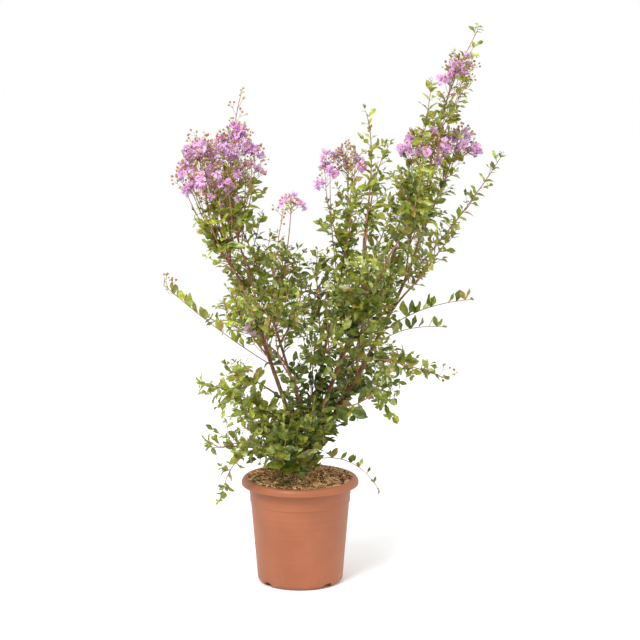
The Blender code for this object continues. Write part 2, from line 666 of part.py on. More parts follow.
class Mass:
    """The shapes of one mass: its stem, then the twigs, leaves and flowers that fit."""

    def __init__(self, name, row, stem, cells):
        self.name = name
        self.cells = cells
        self.chance = random.Random(name)
        self.stem = Shoot(stem.points, stem.radii, stem.seat)
        self.shapes = []
        self.trees = []
        self.add(self.stem.shape)
        bare = row.get("bare", BARE_SHARE)
        flowers_on_tip = "flower_end" not in row and row.get("blooms", 0) + row.get("buds", 0) > 0
        flowery = LEAFLESS_PANICLE * row.get("panicle", PANICLE_LENGTH) / self.stem.length
        leafy_end = 1 - flowery if flowers_on_tip else 1
        for flower in panicle(self.stem, row, self.chance):
            if self.fits(flower[-1], self.stem):
                for shape in flower:
                    self.add(shape)
        for k in range(row["twigs"]):
            share = bare + (TOP_TWIG_SHARE * leafy_end - bare) * (k + 0.3) / row["twigs"]
            self.grow_twig(k, share, row["reach"])
        self.grow_leaves(self.stem, bare, leafy_end, STEM_LEAF_SIZE)

    def add(self, shape):
        self.shapes.append(shape)
        self.trees.append(BVHTree.FromPolygons(*shape))

    def fits(self, shape, shoot):
        """Whether a shape that grows on shoot keeps to this mass's space and crosses none of its shapes."""
        if not self.cells.holds(self.name, shape):
            return False
        tree = BVHTree.FromPolygons(*shape)
        others = zip(self.shapes, self.trees)
        return not any(tree.overlap(other) for made, other in others if made is not shoot.shape)

    def grow_twig(self, number, share, reach):
        length = reach * (1 - TWIG_TAPER * share) * self.chance.uniform(0.85, 1.1)
        for attempt in range(TWIG_SIDES):
            twig = side_twig(self.stem, share, number + attempt, length, self.chance)
            if self.fits(twig.shape, self.stem):
                self.add(twig.shape)
                self.grow_leaves(twig, TWIG_BARE_SHARE, 1, 1 + (TOP_TWIG_LEAF_SIZE - 1) * share)
                return

    def grow_leaves(self, shoot, first, last, size):
        for blade in leaves_on(shoot, first, last, self.chance, size, self.fits):
            self.add(blade)


def fused(name, shapes, finish):
    """One solid from shapes that overlap: a union of the first with a collection of the others."""
    core = solid(name, shapes[0], finish)
    others = bpy.data.collections.new(name + "_shapes")
    bpy.context.scene.collection.children.link(others)
    for number, shape in enumerate(shapes[1:]):
        solid(f"{name}_{number}", shape, finish, others)
    join = core.modifiers.new("join", "BOOLEAN")
    join.operation = "UNION"
    join.operand_type = "COLLECTION"
    join.collection = others
    join.solver = "EXACT"
    bpy.context.view_layer.update()
    whole = bpy.data.meshes.new_from_object(core.evaluated_get(bpy.context.evaluated_depsgraph_get()))
    core.modifiers.clear()
    core.data = whole
    for piece in list(others.objects):
        bpy.data.objects.remove(piece)
    bpy.data.collections.remove(others)
    return core


def main():
    for old in list(bpy.data.objects):
        bpy.data.objects.remove(old)
    finishes = {name: material(name) for name in COLOURS}
    pot(finishes["pot"])
    potting_mix(finishes["potting_mix"])
    limbs = grow_limbs()
    solid("trunk", limbs["trunk"].shape(TRUNK_SIDES), finishes["bark"])
    for name, row in BOUGHS.items():
        sides = BASE_STEM_SIDES if row["parent"] == "trunk" else BOUGH_SIDES
        solid(name, limbs[name].shape(sides), finishes["bark"])
    stems = {}
    for name, row in MASSES.items():
        stems[name] = seated_limb(limbs[row["parent"]], row, STEM_RADIUS, STEM_TIP_RADIUS, STEM_ROWS)
    cells = Cells(stems, limbs)
    count = 0
    for name, row in MASSES.items():
        shapes = Mass(name, row, stems[name], cells).shapes
        count += len(shapes)
        fused(name, shapes, finishes["foliage"])
    print(count, "shapes joined into", len(MASSES), "masses")


main()
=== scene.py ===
import json
import math
import random

import bpy
import numpy as np
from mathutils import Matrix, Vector

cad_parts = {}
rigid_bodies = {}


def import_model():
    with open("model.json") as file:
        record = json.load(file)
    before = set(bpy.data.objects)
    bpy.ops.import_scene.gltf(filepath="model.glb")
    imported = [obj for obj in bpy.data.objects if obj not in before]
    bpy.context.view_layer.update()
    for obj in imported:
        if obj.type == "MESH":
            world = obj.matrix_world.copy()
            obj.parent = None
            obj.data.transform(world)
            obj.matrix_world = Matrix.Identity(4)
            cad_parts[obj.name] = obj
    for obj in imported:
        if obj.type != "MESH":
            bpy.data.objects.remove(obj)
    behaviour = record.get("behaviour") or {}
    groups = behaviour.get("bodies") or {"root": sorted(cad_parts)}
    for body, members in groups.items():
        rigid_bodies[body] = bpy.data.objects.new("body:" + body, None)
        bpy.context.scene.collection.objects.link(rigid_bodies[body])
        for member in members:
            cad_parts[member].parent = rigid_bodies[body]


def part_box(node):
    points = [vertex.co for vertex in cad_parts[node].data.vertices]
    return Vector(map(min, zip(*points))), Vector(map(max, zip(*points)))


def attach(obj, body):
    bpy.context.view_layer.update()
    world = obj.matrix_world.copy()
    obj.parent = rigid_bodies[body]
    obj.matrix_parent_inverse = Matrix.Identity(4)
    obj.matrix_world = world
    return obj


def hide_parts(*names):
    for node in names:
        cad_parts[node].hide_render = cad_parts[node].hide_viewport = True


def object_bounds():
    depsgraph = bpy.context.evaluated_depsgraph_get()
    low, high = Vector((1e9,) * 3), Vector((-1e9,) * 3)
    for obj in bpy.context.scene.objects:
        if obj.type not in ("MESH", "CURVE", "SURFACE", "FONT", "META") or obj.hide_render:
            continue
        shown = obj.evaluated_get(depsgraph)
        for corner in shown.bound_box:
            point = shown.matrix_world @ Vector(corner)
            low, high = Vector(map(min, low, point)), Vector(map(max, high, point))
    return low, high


# A potted crape myrtle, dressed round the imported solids. Metres, +Z up, the middle of the pot's underside
# at the origin. Each mass of foliage grows on from its bough by the rule of the part's source, carried on
# to sprays of leaves of true size.

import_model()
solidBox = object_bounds()
boxLow = np.array(solidBox[0])
boxHigh = np.array(solidBox[1])
skyward = np.array([0.0, 0.0, 1.0])
goldenTurn = math.radians(137.5)
print("frame loaded")


# Camera, floor and light

photoView = dict(place=(0.051, -4.9, 1.48), pitchDown=9.29, lens=110.4, sensor=36)
studio = dict(aim=(0.08, 0, 1.20), spread=75, lampSize=1.3, floorSide=4000, floorColour=(255, 255, 255),
              skyStrength=1.0)
lamps = {"keyLight": ((-1.1, -2.0, 2.9), 24), "fillLight": ((2.2, -2.2, 2.4), 4)}     # place and power


def linear(colour):                       # a colour of 0 to 255 as light, with an alpha of 1
    shares = [part / 255 for part in colour]
    return (*[part / 12.92 if part < 0.04045 else ((part + 0.055) / 1.055) ** 2.4 for part in shares], 1)


def tinted(colour, gain, more=0):         # the same colour, darker or paler
    return [min(255, part * gain + more) for part in colour]


# Shader nodes

class Field:                              # a socket that does sums by adding Math nodes
    def __init__(self, finish, socket):
        self.finish = finish
        self.socket = socket

    def maths(self, operation, first, second):
        return self.finish.node("ShaderNodeMath", {0: first, 1: second}, operation=operation)

    def __add__(self, other):
        return self.maths("ADD", self, other)

    def __rsub__(self, other):
        return self.maths("SUBTRACT", other, self)

    def __mul__(self, other):
        return self.maths("MULTIPLY", self, other)

    __radd__ = __add__
    __rmul__ = __mul__


class Finish:                             # a material, with its numbers on the shader's own sockets
    def __init__(self, name, colour, roughness, others=None):
        self.material = bpy.data.materials.new(name)
        self.material.use_nodes = True
        self.material.diffuse_color = linear(colour)
        self.tree = self.material.node_tree
        self.shader = self.tree.nodes["Principled BSDF"]
        self.give("Base Color", linear(colour))
        self.give("Roughness", roughness)
        for socket, number in (others or {}).items():
            self.give(socket, number)

    def give(self, socket, value):
        self.feed(self.shader.inputs[socket], value)

    def feed(self, socket, value):
        if isinstance(value, Field):
            self.tree.links.new(value.socket, socket)
        else:
            socket.default_value = value

    def node(self, kind, sockets, output=0, **settings):
        made = self.tree.nodes.new(kind)
        for name, value in settings.items():
            setattr(made, name, value)
        for name, value in sockets.items():
            self.feed(made.inputs[name], value)
        return Field(self, made.outputs[output])

    def noise(self, scale, detail=3, stretch=(1, 1, 1)):
        spot = self.node("ShaderNodeTexCoord", {}, "Object")
        place = self.node("ShaderNodeMapping", {"Vector": spot, "Scale": stretch})
        return self.node("ShaderNodeTexNoise", {"Vector": place, "Scale": scale, "Detail": detail})

    def height(self):
        spot = self.node("ShaderNodeTexCoord", {}, "Object")
        return self.node("ShaderNodeSeparateXYZ", {"Vector": spot}, "Z")

    def between(self, value, start, end):             # 0 at start, 1 at end, held outside them
        return self.node("ShaderNodeMapRange", {"Value": value, "From Min": start, "From Max": end},
                         interpolation_type="SMOOTHSTEP")

    def mix(self, share, *colours):                   # colours of 0 to 255, or fields of colour
        first, second = [each if isinstance(each, Field) else linear(each) for each in colours]
        return self.node("ShaderNodeMix", {0: share, 6: first, 7: second}, 2, data_type="RGBA")

    def letThrough(self, share, colour):              # a thin sheet, lit in part from behind
        back = self.node("ShaderNodeBsdfTranslucent", {"Color": linear(colour)})
        front = Field(self, self.shader.outputs[0])
        both = self.node("ShaderNodeMixShader", {0: share, 1: front, 2: back})
        self.feed(self.tree.nodes["Material Output"].inputs["Surface"], both)

    def bump(self, height, strength, distance):
        self.give("Normal", self.node("ShaderNodeBump", {"Height": height, "Strength": strength,
                                                         "Distance": distance}))


def grained(name, colour, look):
    # A finish whose colour goes from dark to pale times its tint in a fine noise, and may let light through.
    finish = Finish(name, colour, look["roughness"], look.get("others"))
    grain = finish.noise(look["grain"], look.get("detail", 3), look.get("stretch", (1, 1, 1)))
    share = finish.between(grain, *look.get("edges", (0.35, 0.65)))
    paler = tinted(colour, look["pale"], look.get("more", 0))
    finish.give("Base Color", finish.mix(share, tinted(colour, look["dark"]), paler))
    if "bump" in look:
        finish.bump(grain, *look["bump"])
    if "glow" in look:
        glowColour = [min(255, part * gain) for part, gain in zip(colour, look["gains"])]
        finish.letThrough(look["glow"], glowColour)
    return finish


# Meshes from arrays: a shape is its points and its groups of faces

def unit(arrows):
    return arrows / np.maximum(np.linalg.norm(arrows, axis=-1, keepdims=True), 1e-9)


def circling(count):                                  # the angles of a full turn in even steps
    return np.arange(count) * math.tau / count


def gridFaces(rows, columns, closed=False):           # quads over a grid of points, wrapped round if closed
    across = columns if closed else columns - 1
    row, column = np.meshgrid(np.arange(rows - 1), np.arange(across), indexing="ij")
    here = row * columns + column
    beside = row * columns + (column + 1) % columns
    return np.stack([here, beside, beside + columns, here + columns], axis=-1).reshape(-1, 4)


def copies(points, groups):                           # one shape's faces, once for each row of points
    shift = np.arange(len(points))[:, None, None] * points.shape[1]
    return points, [(faces[None] + shift).reshape(-1, faces.shape[-1]) for faces in groups]


def placed(spots, axes, steps):
    # For each spot its points: spot + axis * step, summed over three axes.
    points = spots[:, None, None]
    for axis, step in zip(axes, steps):
        points = points + axis[:, None, None] * step[..., None]
    return points.reshape(len(spots), -1, 3)


def meshPiece(name, shape, finish, nodes=(), smooth=True):
    points, groups = shape
    corners = np.concatenate([faces.ravel() for faces in groups]).astype(np.int32)
    sizes = np.concatenate([np.full(len(faces), faces.shape[1]) for faces in groups])
    starts = np.concatenate(([0], np.cumsum(sizes)[:-1])).astype(np.int32)
    mesh = bpy.data.meshes.new(name)
    mesh.vertices.add(points.size // 3)
    mesh.vertices.foreach_set("co", points.astype(np.float32).ravel())
    mesh.loops.add(len(corners))
    mesh.loops.foreach_set("vertex_index", corners)
    mesh.polygons.add(len(sizes))
    mesh.polygons.foreach_set("loop_start", starts)
    mesh.polygons.foreach_set("use_smooth", np.full(len(sizes), smooth))
    mesh.update(calc_edges=True)
    mesh.validate()
    mesh.materials.append(finish.material)
    piece = bpy.data.objects.new(name, mesh)
    bpy.context.scene.collection.objects.link(piece)
    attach(piece, "root")
    if nodes:
        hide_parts(*nodes)
    return piece


def tubes(paths, radii, sides):
    # Rings of corners round each line of points: place + radius * (level cos a + up sin a). Ends are closed.
    ahead = unit(np.gradient(paths, axis=1))
    level = np.cross(ahead, skyward)
    steep = np.linalg.norm(level[:, :1], axis=-1, keepdims=True) < 0.25
    level = unit(np.where(steep, np.cross(ahead, [0.0, 1.0, 0.0]), level))
    up = np.cross(ahead, level)
    angles = circling(sides)
    around = level[:, :, None] * np.cos(angles)[:, None] + up[:, :, None] * np.sin(angles)[:, None]
    points = paths[:, :, None] + around * radii[:, :, None, None]
    rows = paths.shape[1]
    ring = np.arange(sides)[None]
    faces = [gridFaces(rows, sides, closed=True), ring[:, ::-1], ring + (rows - 1) * sides]
    return copies(points.reshape(len(paths), -1, 3), faces)


# The line of each limb, as in the part's source

def bend(foot, way, tip, count):                      # the parabola from foot to tip through way half way
    foot, way, tip = np.array(foot), np.array(way), np.array(tip)
    control = 2 * way - (foot + tip) / 2
    t = np.linspace(0, 1, count)[:, None]
    return foot * (1 - t) ** 2 + control * 2 * t * (1 - t) + tip * t ** 2


class Line:                                           # a limb or shoot: its points, and places by share
    def __init__(self, points, firstRadius, lastRadius):
        self.points = points
        steps = np.linalg.norm(np.diff(points, axis=0), axis=1)
        self.reached = np.concatenate(([0], np.cumsum(steps)))
        self.length = self.reached[-1]
        self.radii = np.linspace(firstRadius, lastRadius, len(points))

    def along(self, reach):
        return np.stack([np.interp(reach, self.reached, self.points[:, k]) for k in range(3)], axis=-1)

    def at(self, share):                              # the place and the direction there
        row = min(int(share * (len(self.points) - 1)), len(self.points) - 2)
        return self.along(share * self.length), unit(self.points[row + 1] - self.points[row])

    def even(self, count):                            # the same line with evenly spaced points
        return self.along(np.linspace(0, self.length, count))


# Each bough: its parent and the share along it where it starts, the place it passes half way, its tip, and
# its first and last radius. The main stems start on a ring in the trunk's top, each at its own turn.
boughs = {
    "left_stem": ("trunk", 1, (-0.052, 0.018, 0.500), (-0.110, 0.000, 0.675), (0.0058, 0.0044)),
    "right_stem": ("trunk", 1, (0.084, -0.004, 0.523), (0.154, -0.030, 0.711), (0.0062, 0.0046)),
    "far_stem": ("trunk", 1, (0.137, 0.056, 0.505), (0.240, 0.082, 0.705), (0.0058, 0.0044)),
    "centre_stem": ("trunk", 1, (0.042, 0.072, 0.475), (0.070, 0.103, 0.620), (0.0050, 0.0038)),
    "left_outer_bough": ("left_stem", 1, (-0.132, -0.006, 0.735), (-0.158, -0.012, 0.795), (0.0042, 0.0032)),
    "left_inner_bough": ("left_stem", 0.84, (-0.114, 0.022, 0.735), (-0.126, 0.038, 0.800), (0.0034, 0.0028)),
    "right_leader_bough": ("right_stem", 1, (0.158, -0.045, 0.800), (0.160, -0.062, 0.890), (0.0042, 0.0030)),
    "right_mid_bough": ("right_stem", 0.72, (0.188, -0.066, 0.765), (0.216, -0.085, 0.845), (0.0034, 0.0026)),
    "far_leader_bough": ("far_stem", 1, (0.288, 0.096, 0.815), (0.318, 0.100, 0.925), (0.0042, 0.0030)),
    "far_low_bough": ("far_stem", 0.88, (0.245, 0.035, 0.712), (0.278, 0.000, 0.758), (0.0032, 0.0025)),
    "back_stem": ("centre_stem", 0.14, (-0.022, 0.115, 0.500), (-0.075, 0.170, 0.660), (0.0040, 0.0032)),
    "back_right_stem": ("far_stem", 0.24, (0.130, 0.140, 0.520), (0.170, 0.215, 0.660), (0.0040, 0.0032)),
    "front_stem": ("right_stem", 0.14, (0.008, -0.050, 0.455), (-0.012, -0.092, 0.540), (0.0036, 0.0028)),
}
ringTurns = {"left_stem": 188, "right_stem": 285, "far_stem": 14, "centre_stem": 100}

# Each mass is one shoot: its parent and the share along it where it starts, the place it passes half way and
# its tip, the reach and number of its side twigs, the share of it that is bare, the lift of its twigs, how
# dense and how large its leaves are, its tone, from 0, deep, to 1, yellow green, and its seed.
masses = {
    "left_outer_crown": ("left_outer_bough", 1, (-0.223, -0.036, 0.941), (-0.240, -0.051, 1.132),
        0.043, 8, 0.04, 0.1, 0.72, 0.92, 0.71, 11106),
    "left_inner_crown": ("left_inner_bough", 1, (-0.175, 0.052, 0.986), (-0.152, 0.058, 1.228),
        0.102, 5, 0.24, 0.7, 0.65, 1.08, 0.68, 11022),
    "left_bow_spray": ("left_stem", 0.66, (-0.197, -0.074, 0.663), (-0.332, -0.148, 0.790),
        0.000, 0, 0.22, 0.1, 1.0, 0.9, 0.66, 11043),
    "left_centre_spray": ("left_stem", 0.84, (-0.043, -0.062, 0.795), (-0.019, -0.137, 0.984),
        0.075, 9, 0.22, 0.6, 0.83, 0.92, 0.45, 11083),
    "left_front_spray": ("left_stem", 0.72, (-0.145, -0.078, 0.696), (-0.152, -0.127, 0.769),
        0.058, 8, 0.44, 0.2, 1.02, 0.92, 0.7, 9052),
    "left_back_spray": ("left_stem", 0.6, (-0.105, 0.085, 0.662), (-0.160, 0.126, 0.801),
        0.093, 7, 0.3, 0.8, 1.12, 1.16, 0.52, 11149),
    "left_low_spray": ("left_stem", 0.16, (-0.131, -0.072, 0.488), (-0.221, -0.196, 0.549),
        0.061, 5, 0.2, -0.3, 1.3, 1.2, 0.56, 11058),
    "left_low_upper_spray": ("left_stem", 0.4, (-0.136, -0.062, 0.546), (-0.153, -0.146, 0.554),
        0.045, 4, 0.4, 0.0, 0.85, 1.15, 0.54, 11143),
    "left_skirt": ("trunk", 0.66, (-0.118, -0.072, 0.364), (-0.210, -0.174, 0.388),
        0.062, 6, 0.28, 0.6, 0.5, 1.25, 0.47, 9193),
    "left_hanging_spray": ("trunk", 0.5, (-0.122, -0.122, 0.368), (-0.192, -0.203, 0.272),
        0.026, 3, 0.34, 0.4, 0.85, 1.1, 0.54, 11090),
    "front_crown": ("front_stem", 1, (-0.053, -0.135, 0.621), (-0.049, -0.196, 0.715),
        0.139, 9, 0.68, 0.3, 0.85, 1.1, 0.38, 11169),
    "front_skirt": ("trunk", 0.52, (-0.004, -0.078, 0.324), (-0.061, -0.164, 0.363),
        0.103, 14, 0.1, 0.8, 1.0, 1.38, 0.36, 11042),
    "front_right_skirt": ("trunk", 0.54, (0.019, -0.070, 0.386), (0.031, -0.148, 0.392),
        0.106, 8, 0.22, 0.7, 0.58, 1.25, 0.2, 11086),
    "centre_crown": ("centre_stem", 1, (0.118, 0.128, 0.862), (0.115, 0.123, 1.095),
        0.056, 10, 0.12, 0.4, 1.0, 1.0, 0.6, 11040),
    "centre_small_spray": ("centre_stem", 0.8, (0.045, 0.066, 0.726), (0.044, 0.012, 0.845),
        0.053, 6, 0.24, 0.3, 1.05, 1, 0.36, 11120),
    "centre_low_spray": ("centre_stem", 0.36, (0.031, 0.022, 0.518), (0.038, -0.024, 0.619),
        0.059, 7, 0.18, -0.2, 0.6, 1.1, 0.25, 11024),
    "centre_front_spray": ("right_stem", 0.5, (0.073, -0.090, 0.621), (0.068, -0.149, 0.780),
        0.062, 6, 0.24, -0.2, 0.6, 1.2, 0.34, 11153),
    "right_leader_crown": ("right_leader_bough", 1, (0.177, -0.085, 1.081), (0.164, -0.115, 1.205),
        0.051, 2, 0.04, -0.2, 1.27, 0.92, 0.52, 7170),
    "right_mid_crown": ("right_mid_bough", 1, (0.280, -0.128, 0.974), (0.270, -0.144, 1.051),
        0.105, 9, 0.24, 0.4, 1.19, 1.0, 0.5, 11117),
    "right_twig_crown": ("right_leader_bough", 0.62, (0.184, -0.015, 1.010), (0.217, 0.008, 1.108),
        0.034, 6, 0.3, 0.0, 0.6, 1.08, 0.64, 11083),
    "upper_twig_crown": ("far_leader_bough", 0.3, (0.296, 0.020, 1.028), (0.325, -0.040, 1.264),
        0.054, 4, 0.36, -0.2, 1.11, 1.2, 0.56, 11001),
    "far_leader_crown": ("far_leader_bough", 1, (0.356, 0.104, 1.170), (0.448, 0.112, 1.399),
        0.045, 10, 0.24, -0.2, 0.85, 0.92, 0.55, 9134),
    "far_side_flowers": ("far_leader_bough", 0.76, (0.370, 0.140, 1.018), (0.412, 0.168, 1.142),
        0.034, 5, 0.12, 0.2, 0.7, 0.92, 0.58, 11029),
    "right_outer_crown": ("far_leader_bough", 0.26, (0.406, 0.168, 0.914), (0.518, 0.210, 1.068),
        0.048, 1, 0.04, 0.3, 1.18, 0.92, 0.5, 11054),
    "right_low_crown": ("far_low_bough", 1, (0.326, -0.042, 0.828), (0.383, -0.084, 0.916),
        0.044, 4, 0.04, 1.0, 0.83, 0.92, 0.6, 11145),
    "right_thin_spray": ("far_stem", 0.8, (0.301, -0.015, 0.704), (0.419, -0.121, 0.749),
        0.000, 0, 0.3, 0.1, 1.0, 1.0, 0.4, 11040),
    "right_thin_back_spray": ("far_stem", 0.62, (0.243, 0.145, 0.618), (0.373, 0.223, 0.624),
        0.000, 0, 0.3, 0.1, 1.0, 1.0, 0.46, 9236),
    "right_bough_spray": ("right_stem", 0.66, (0.220, -0.110, 0.594), (0.362, -0.218, 0.568),
        0.032, 6, 0.3, -0.3, 0.55, 1.0, 0.36, 9122),
    "right_down_spray": ("far_stem", 0.3, (0.173, 0.112, 0.481), (0.239, 0.189, 0.390),
        0.055, 5, 0.13, 0.4, 1.3, 1.1, 0.54, 11036),
    "right_trailing_spray": ("trunk", 0.45, (0.116, -0.058, 0.328), (0.194, -0.110, 0.272),
        0.000, 0, 0.3, 0.1, 1.0, 0.62, 0.4, 11083),
    "right_middle_spray": ("far_stem", 0.52, (0.162, 0.010, 0.661), (0.207, -0.013, 0.764),
        0.108, 12, 0.5, 0.5, 0.87, 1.08, 0.36, 11037),
    "right_inner_spray": ("far_stem", 0.94, (0.234, 0.050, 0.821), (0.268, -0.012, 0.912),
        0.066, 13, 0.12, -0.1, 1.02, 1.0, 0.5, 11123),
    "right_front_spray": ("right_stem", 0.58, (0.153, -0.110, 0.720), (0.156, -0.203, 0.836),
        0.102, 13, 0.18, 0.4, 0.96, 1.2, 0.42, 11145),
    "right_low_front_spray": ("right_stem", 0.36, (0.130, -0.082, 0.475), (0.195, -0.141, 0.532),
        0.067, 2, 0.12, 0.3, 0.5, 1.25, 0.28, 7058),
    "back_left_crown": ("back_stem", 1, (-0.120, 0.215, 0.804), (-0.213, 0.254, 0.998),
        0.099, 5, 0.12, 0.5, 1.27, 0.92, 0.53, 11073),
    "back_centre_crown": ("back_stem", 0.78, (0.002, 0.210, 0.720), (-0.031, 0.275, 0.806),
        0.090, 7, 0.1, -0.5, 1.11, 1.0, 0.4, 11141),
    "back_right_crown": ("back_right_stem", 1, (0.195, 0.260, 0.807), (0.272, 0.278, 0.972),
        0.065, 5, 0.3, 0.2, 1.23, 0.92, 0.45, 11008),
    "back_right_low_spray": ("back_right_stem", 0.58, (0.226, 0.242, 0.546), (0.250, 0.308, 0.550),
        0.101, 5, 0.12, -0.4, 0.65, 1.0, 0.52, 11078),
    "back_skirt": ("trunk", 0.66, (-0.053, 0.112, 0.349), (-0.166, 0.248, 0.392),
        0.075, 8, 0.3, -0.3, 1.3, 1.0, 0.45, 11044),
    "back_left_low_spray": ("back_stem", 0.48, (-0.090, 0.160, 0.590), (-0.234, 0.237, 0.641),
        0.078, 9, 0.12, 0.5, 0.61, 0.92, 0.5, 11136),
}

# The shoots that flower: how many blooms and buds, and the size of the panicle at the tip. Side shoots are
# long shoots beside the stem with a panicle each: their number, their reach from the stem, the share of the
# stem they leave up to, how far they hang below its tip, and their blooms. End is where the flowers end,
# leafyEnd where the leaves end, budTip counts the buds on a bare tip, and stray places single flowers.
flowering = {
    "left_outer_crown": dict(blooms=2.5, buds=8.4, panicle=0.14, side=13, sideReach=0.07, sideFrom=0.14,
        sideDrop=0.13, sideBlooms=1.3, leafyEnd=0.56),
    "left_inner_crown": dict(blooms=3.0, buds=8.1, panicle=0.12, side=8, sideReach=0.091, sideFrom=0.32,
        sideDrop=0.14, sideBlooms=1.6, end=0.82, leafyEnd=0.48, budTip=5),
    "left_bow_spray": dict(buds=4.7, panicle=0.04),
    "left_centre_spray": dict(blooms=1.8, buds=1.9, panicle=0.03, side=1, sideReach=0.058, sideFrom=0.38,
        sideDrop=0.014, sideBlooms=0.5, leafyEnd=0.66),
    "left_front_spray": dict(stray=(0.42,)),
    "centre_crown": dict(blooms=2.0, buds=6.7, panicle=0.08, side=5, sideReach=0.065, sideFrom=0.51,
        sideDrop=0.06, sideBlooms=0.9),
    "centre_front_spray": dict(blooms=0.4, buds=0.7, panicle=0.13),
    "upper_twig_crown": dict(blooms=1.7, buds=4.3, panicle=0.13, side=6, sideReach=0.055, sideFrom=0.3,
        sideDrop=0.05, sideBlooms=1.0, end=0.76),
    "far_leader_crown": dict(blooms=1.3, buds=3.4, panicle=0.13, side=4, sideReach=0.032, sideFrom=0.51,
        sideDrop=0.03, sideBlooms=1.1, end=0.82),
    "far_side_flowers": dict(blooms=2.3, buds=5.6, panicle=0.12, side=3, sideReach=0.038, sideFrom=0.91,
        sideDrop=0.038, sideBlooms=1.4),
    "right_bough_spray": dict(buds=3.2, panicle=0.04),
    "back_left_crown": dict(blooms=0.7, buds=2.2, panicle=0.09),
    "back_right_crown": dict(blooms=0.3, buds=1.7, panicle=0.08),
}


# Pot

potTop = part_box("pot")[1].z
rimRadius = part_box("pot")[1].x
potShape = dict(lipHeight=0.018, bandRadius=0.1300, bandHeight=0.043, step=0.0035, footRadius=0.1085,
                footChamfer=0.008, wall=0.003, floorTop=0.008, floorRise=0.004, padRadius=0.028,
                ringWidth=0.0145, slope=0.004, around=192, notchHeight=0.013,
                notches=((0.030, (41, 131, 221, 311)), (0.009, (165, 345))))       # their widths and angles


def softened(corners, steps):
    # Each corner (radius, height, cut) becomes a short curve that leaves its sides at cut from the corner.
    spots = np.array([corner[:2] for corner in corners])
    outline = [spots[:1]]
    t = np.linspace(0, 1, steps)[:, None]
    for before, here, after, corner in zip(spots, spots[1:], spots[2:], corners[1:]):
        start = here + unit(before - here) * corner[2]
        end = here + unit(after - here) * corner[2]
        outline.append(start * (1 - t) ** 2 + here * 2 * t * (1 - t) + end * t ** 2)
    outline.append(spots[-1:])
    return np.concatenate(outline)


def turned(outline, around):
    # The outline spun round the axis: (r cos a, r sin a, z). Its two ends lie on the axis, as poles.
    angles = circling(around)
    radius, height = outline[1:-1, :1], outline[1:-1, 1:]
    rings = np.broadcast_arrays(radius * np.cos(angles), radius * np.sin(angles), height)
    poles = np.array([[0, 0, outline[0, 1]], [0, 0, outline[-1, 1]]])
    count = len(radius) * around
    ring = np.arange(around)
    following = (ring + 1) % around
    first = np.stack([following, ring, np.full(around, count)], axis=1)
    last = first[:, [1, 0, 2]] + [count - around, count - around, 1]
    faces = [gridFaces(len(radius), around, closed=True), first, last]
    return np.concatenate([np.stack(rings, axis=-1).reshape(-1, 3), poles]), faces


def potWall(height):                                  # the wall's radius between the step and the foot
    stepTop = potTop - potShape["lipHeight"] - potShape["bandHeight"]
    slope = (potShape["bandRadius"] - potShape["step"] - potShape["footRadius"]) / stepTop
    return potShape["footRadius"] + slope * height


def potOutline():                                     # from the middle underneath, out, up and back inside
    p = potShape
    pad, rise, slope, wall, band = p["padRadius"], p["floorRise"], p["slope"], p["wall"], p["bandRadius"]
    lipUnder = potTop - p["lipHeight"]
    stepTop = lipUnder - p["bandHeight"]
    overhang = rimRadius - band
    footEdge = p["footRadius"] - p["footChamfer"]
    ringInside = footEdge - p["ringWidth"]
    corners = [
        (0, 0.0006, 0), (pad, 0, 0.001), (pad + slope, rise, 0.001), (ringInside - slope, rise, 0.001),
        (ringInside, 0, 0.001), (footEdge, 0, 0.003), (potWall(p["footChamfer"]), p["footChamfer"], 0.003),
        (potWall(stepTop - 0.0018), stepTop - 0.0018, 0.0006), (band - 0.0016, stepTop, 0.0007),
        (band - 0.0014, stepTop + 0.020, 0.0004), (band - 0.0002, stepTop + 0.0210, 0.0004),
        (band, lipUnder + 0.002, 0.0012), (rimRadius - wall, lipUnder + 0.002, 0.0008),
        (rimRadius - 0.0016, lipUnder, 0.0009), (rimRadius, lipUnder + 0.0015, 0.0012),
        (rimRadius, potTop - 0.0085, 0.0030), (rimRadius - 0.28 * overhang, potTop, 0.0042),
        (rimRadius - 0.86 * overhang, potTop, 0.0036), (band - wall, potTop - 2 * wall, 0.0025),
        (band - wall - 0.0005, stepTop, 0.001), (potWall(0.2) - wall, stepTop - p["step"], 0.001),
        (potWall(p["floorTop"]) - wall, p["floorTop"], 0.003), (0, p["floorTop"], 0),
    ]
    return softened(corners, 7)


def notchCutter(angle, width):
    # An arched block on its side: the arch's outline (y, z) carried along x, then turned to its angle.
    p = potShape
    bow = np.radians(np.linspace(0, 180, 9))
    corner = 0.35 * width
    tops = p["notchHeight"] - corner * (1 - np.sin(bow))
    sides = np.sign(np.cos(bow)) * (width / 2 - corner) + corner * np.cos(bow)
    y = np.concatenate([[width / 2], sides, [-width / 2]])
    z = np.concatenate([[-0.003], tops, [-0.003]])
    turn = math.radians(angle)
    points = np.concatenate([np.stack([x * math.cos(turn) - y * math.sin(turn),
                                       x * math.sin(turn) + y * math.cos(turn), z], axis=1)
                             for x in (p["footRadius"] - 0.022, p["footRadius"] + 0.010)])
    ends = list(range(len(y)))
    walls = gridFaces(2, len(y), closed=True).tolist()
    mesh = bpy.data.meshes.new("notch")
    mesh.from_pydata(points.tolist(), [], walls + [ends[::-1], [spot + len(y) for spot in ends]])
    return bpy.data.objects.new("notch", mesh)


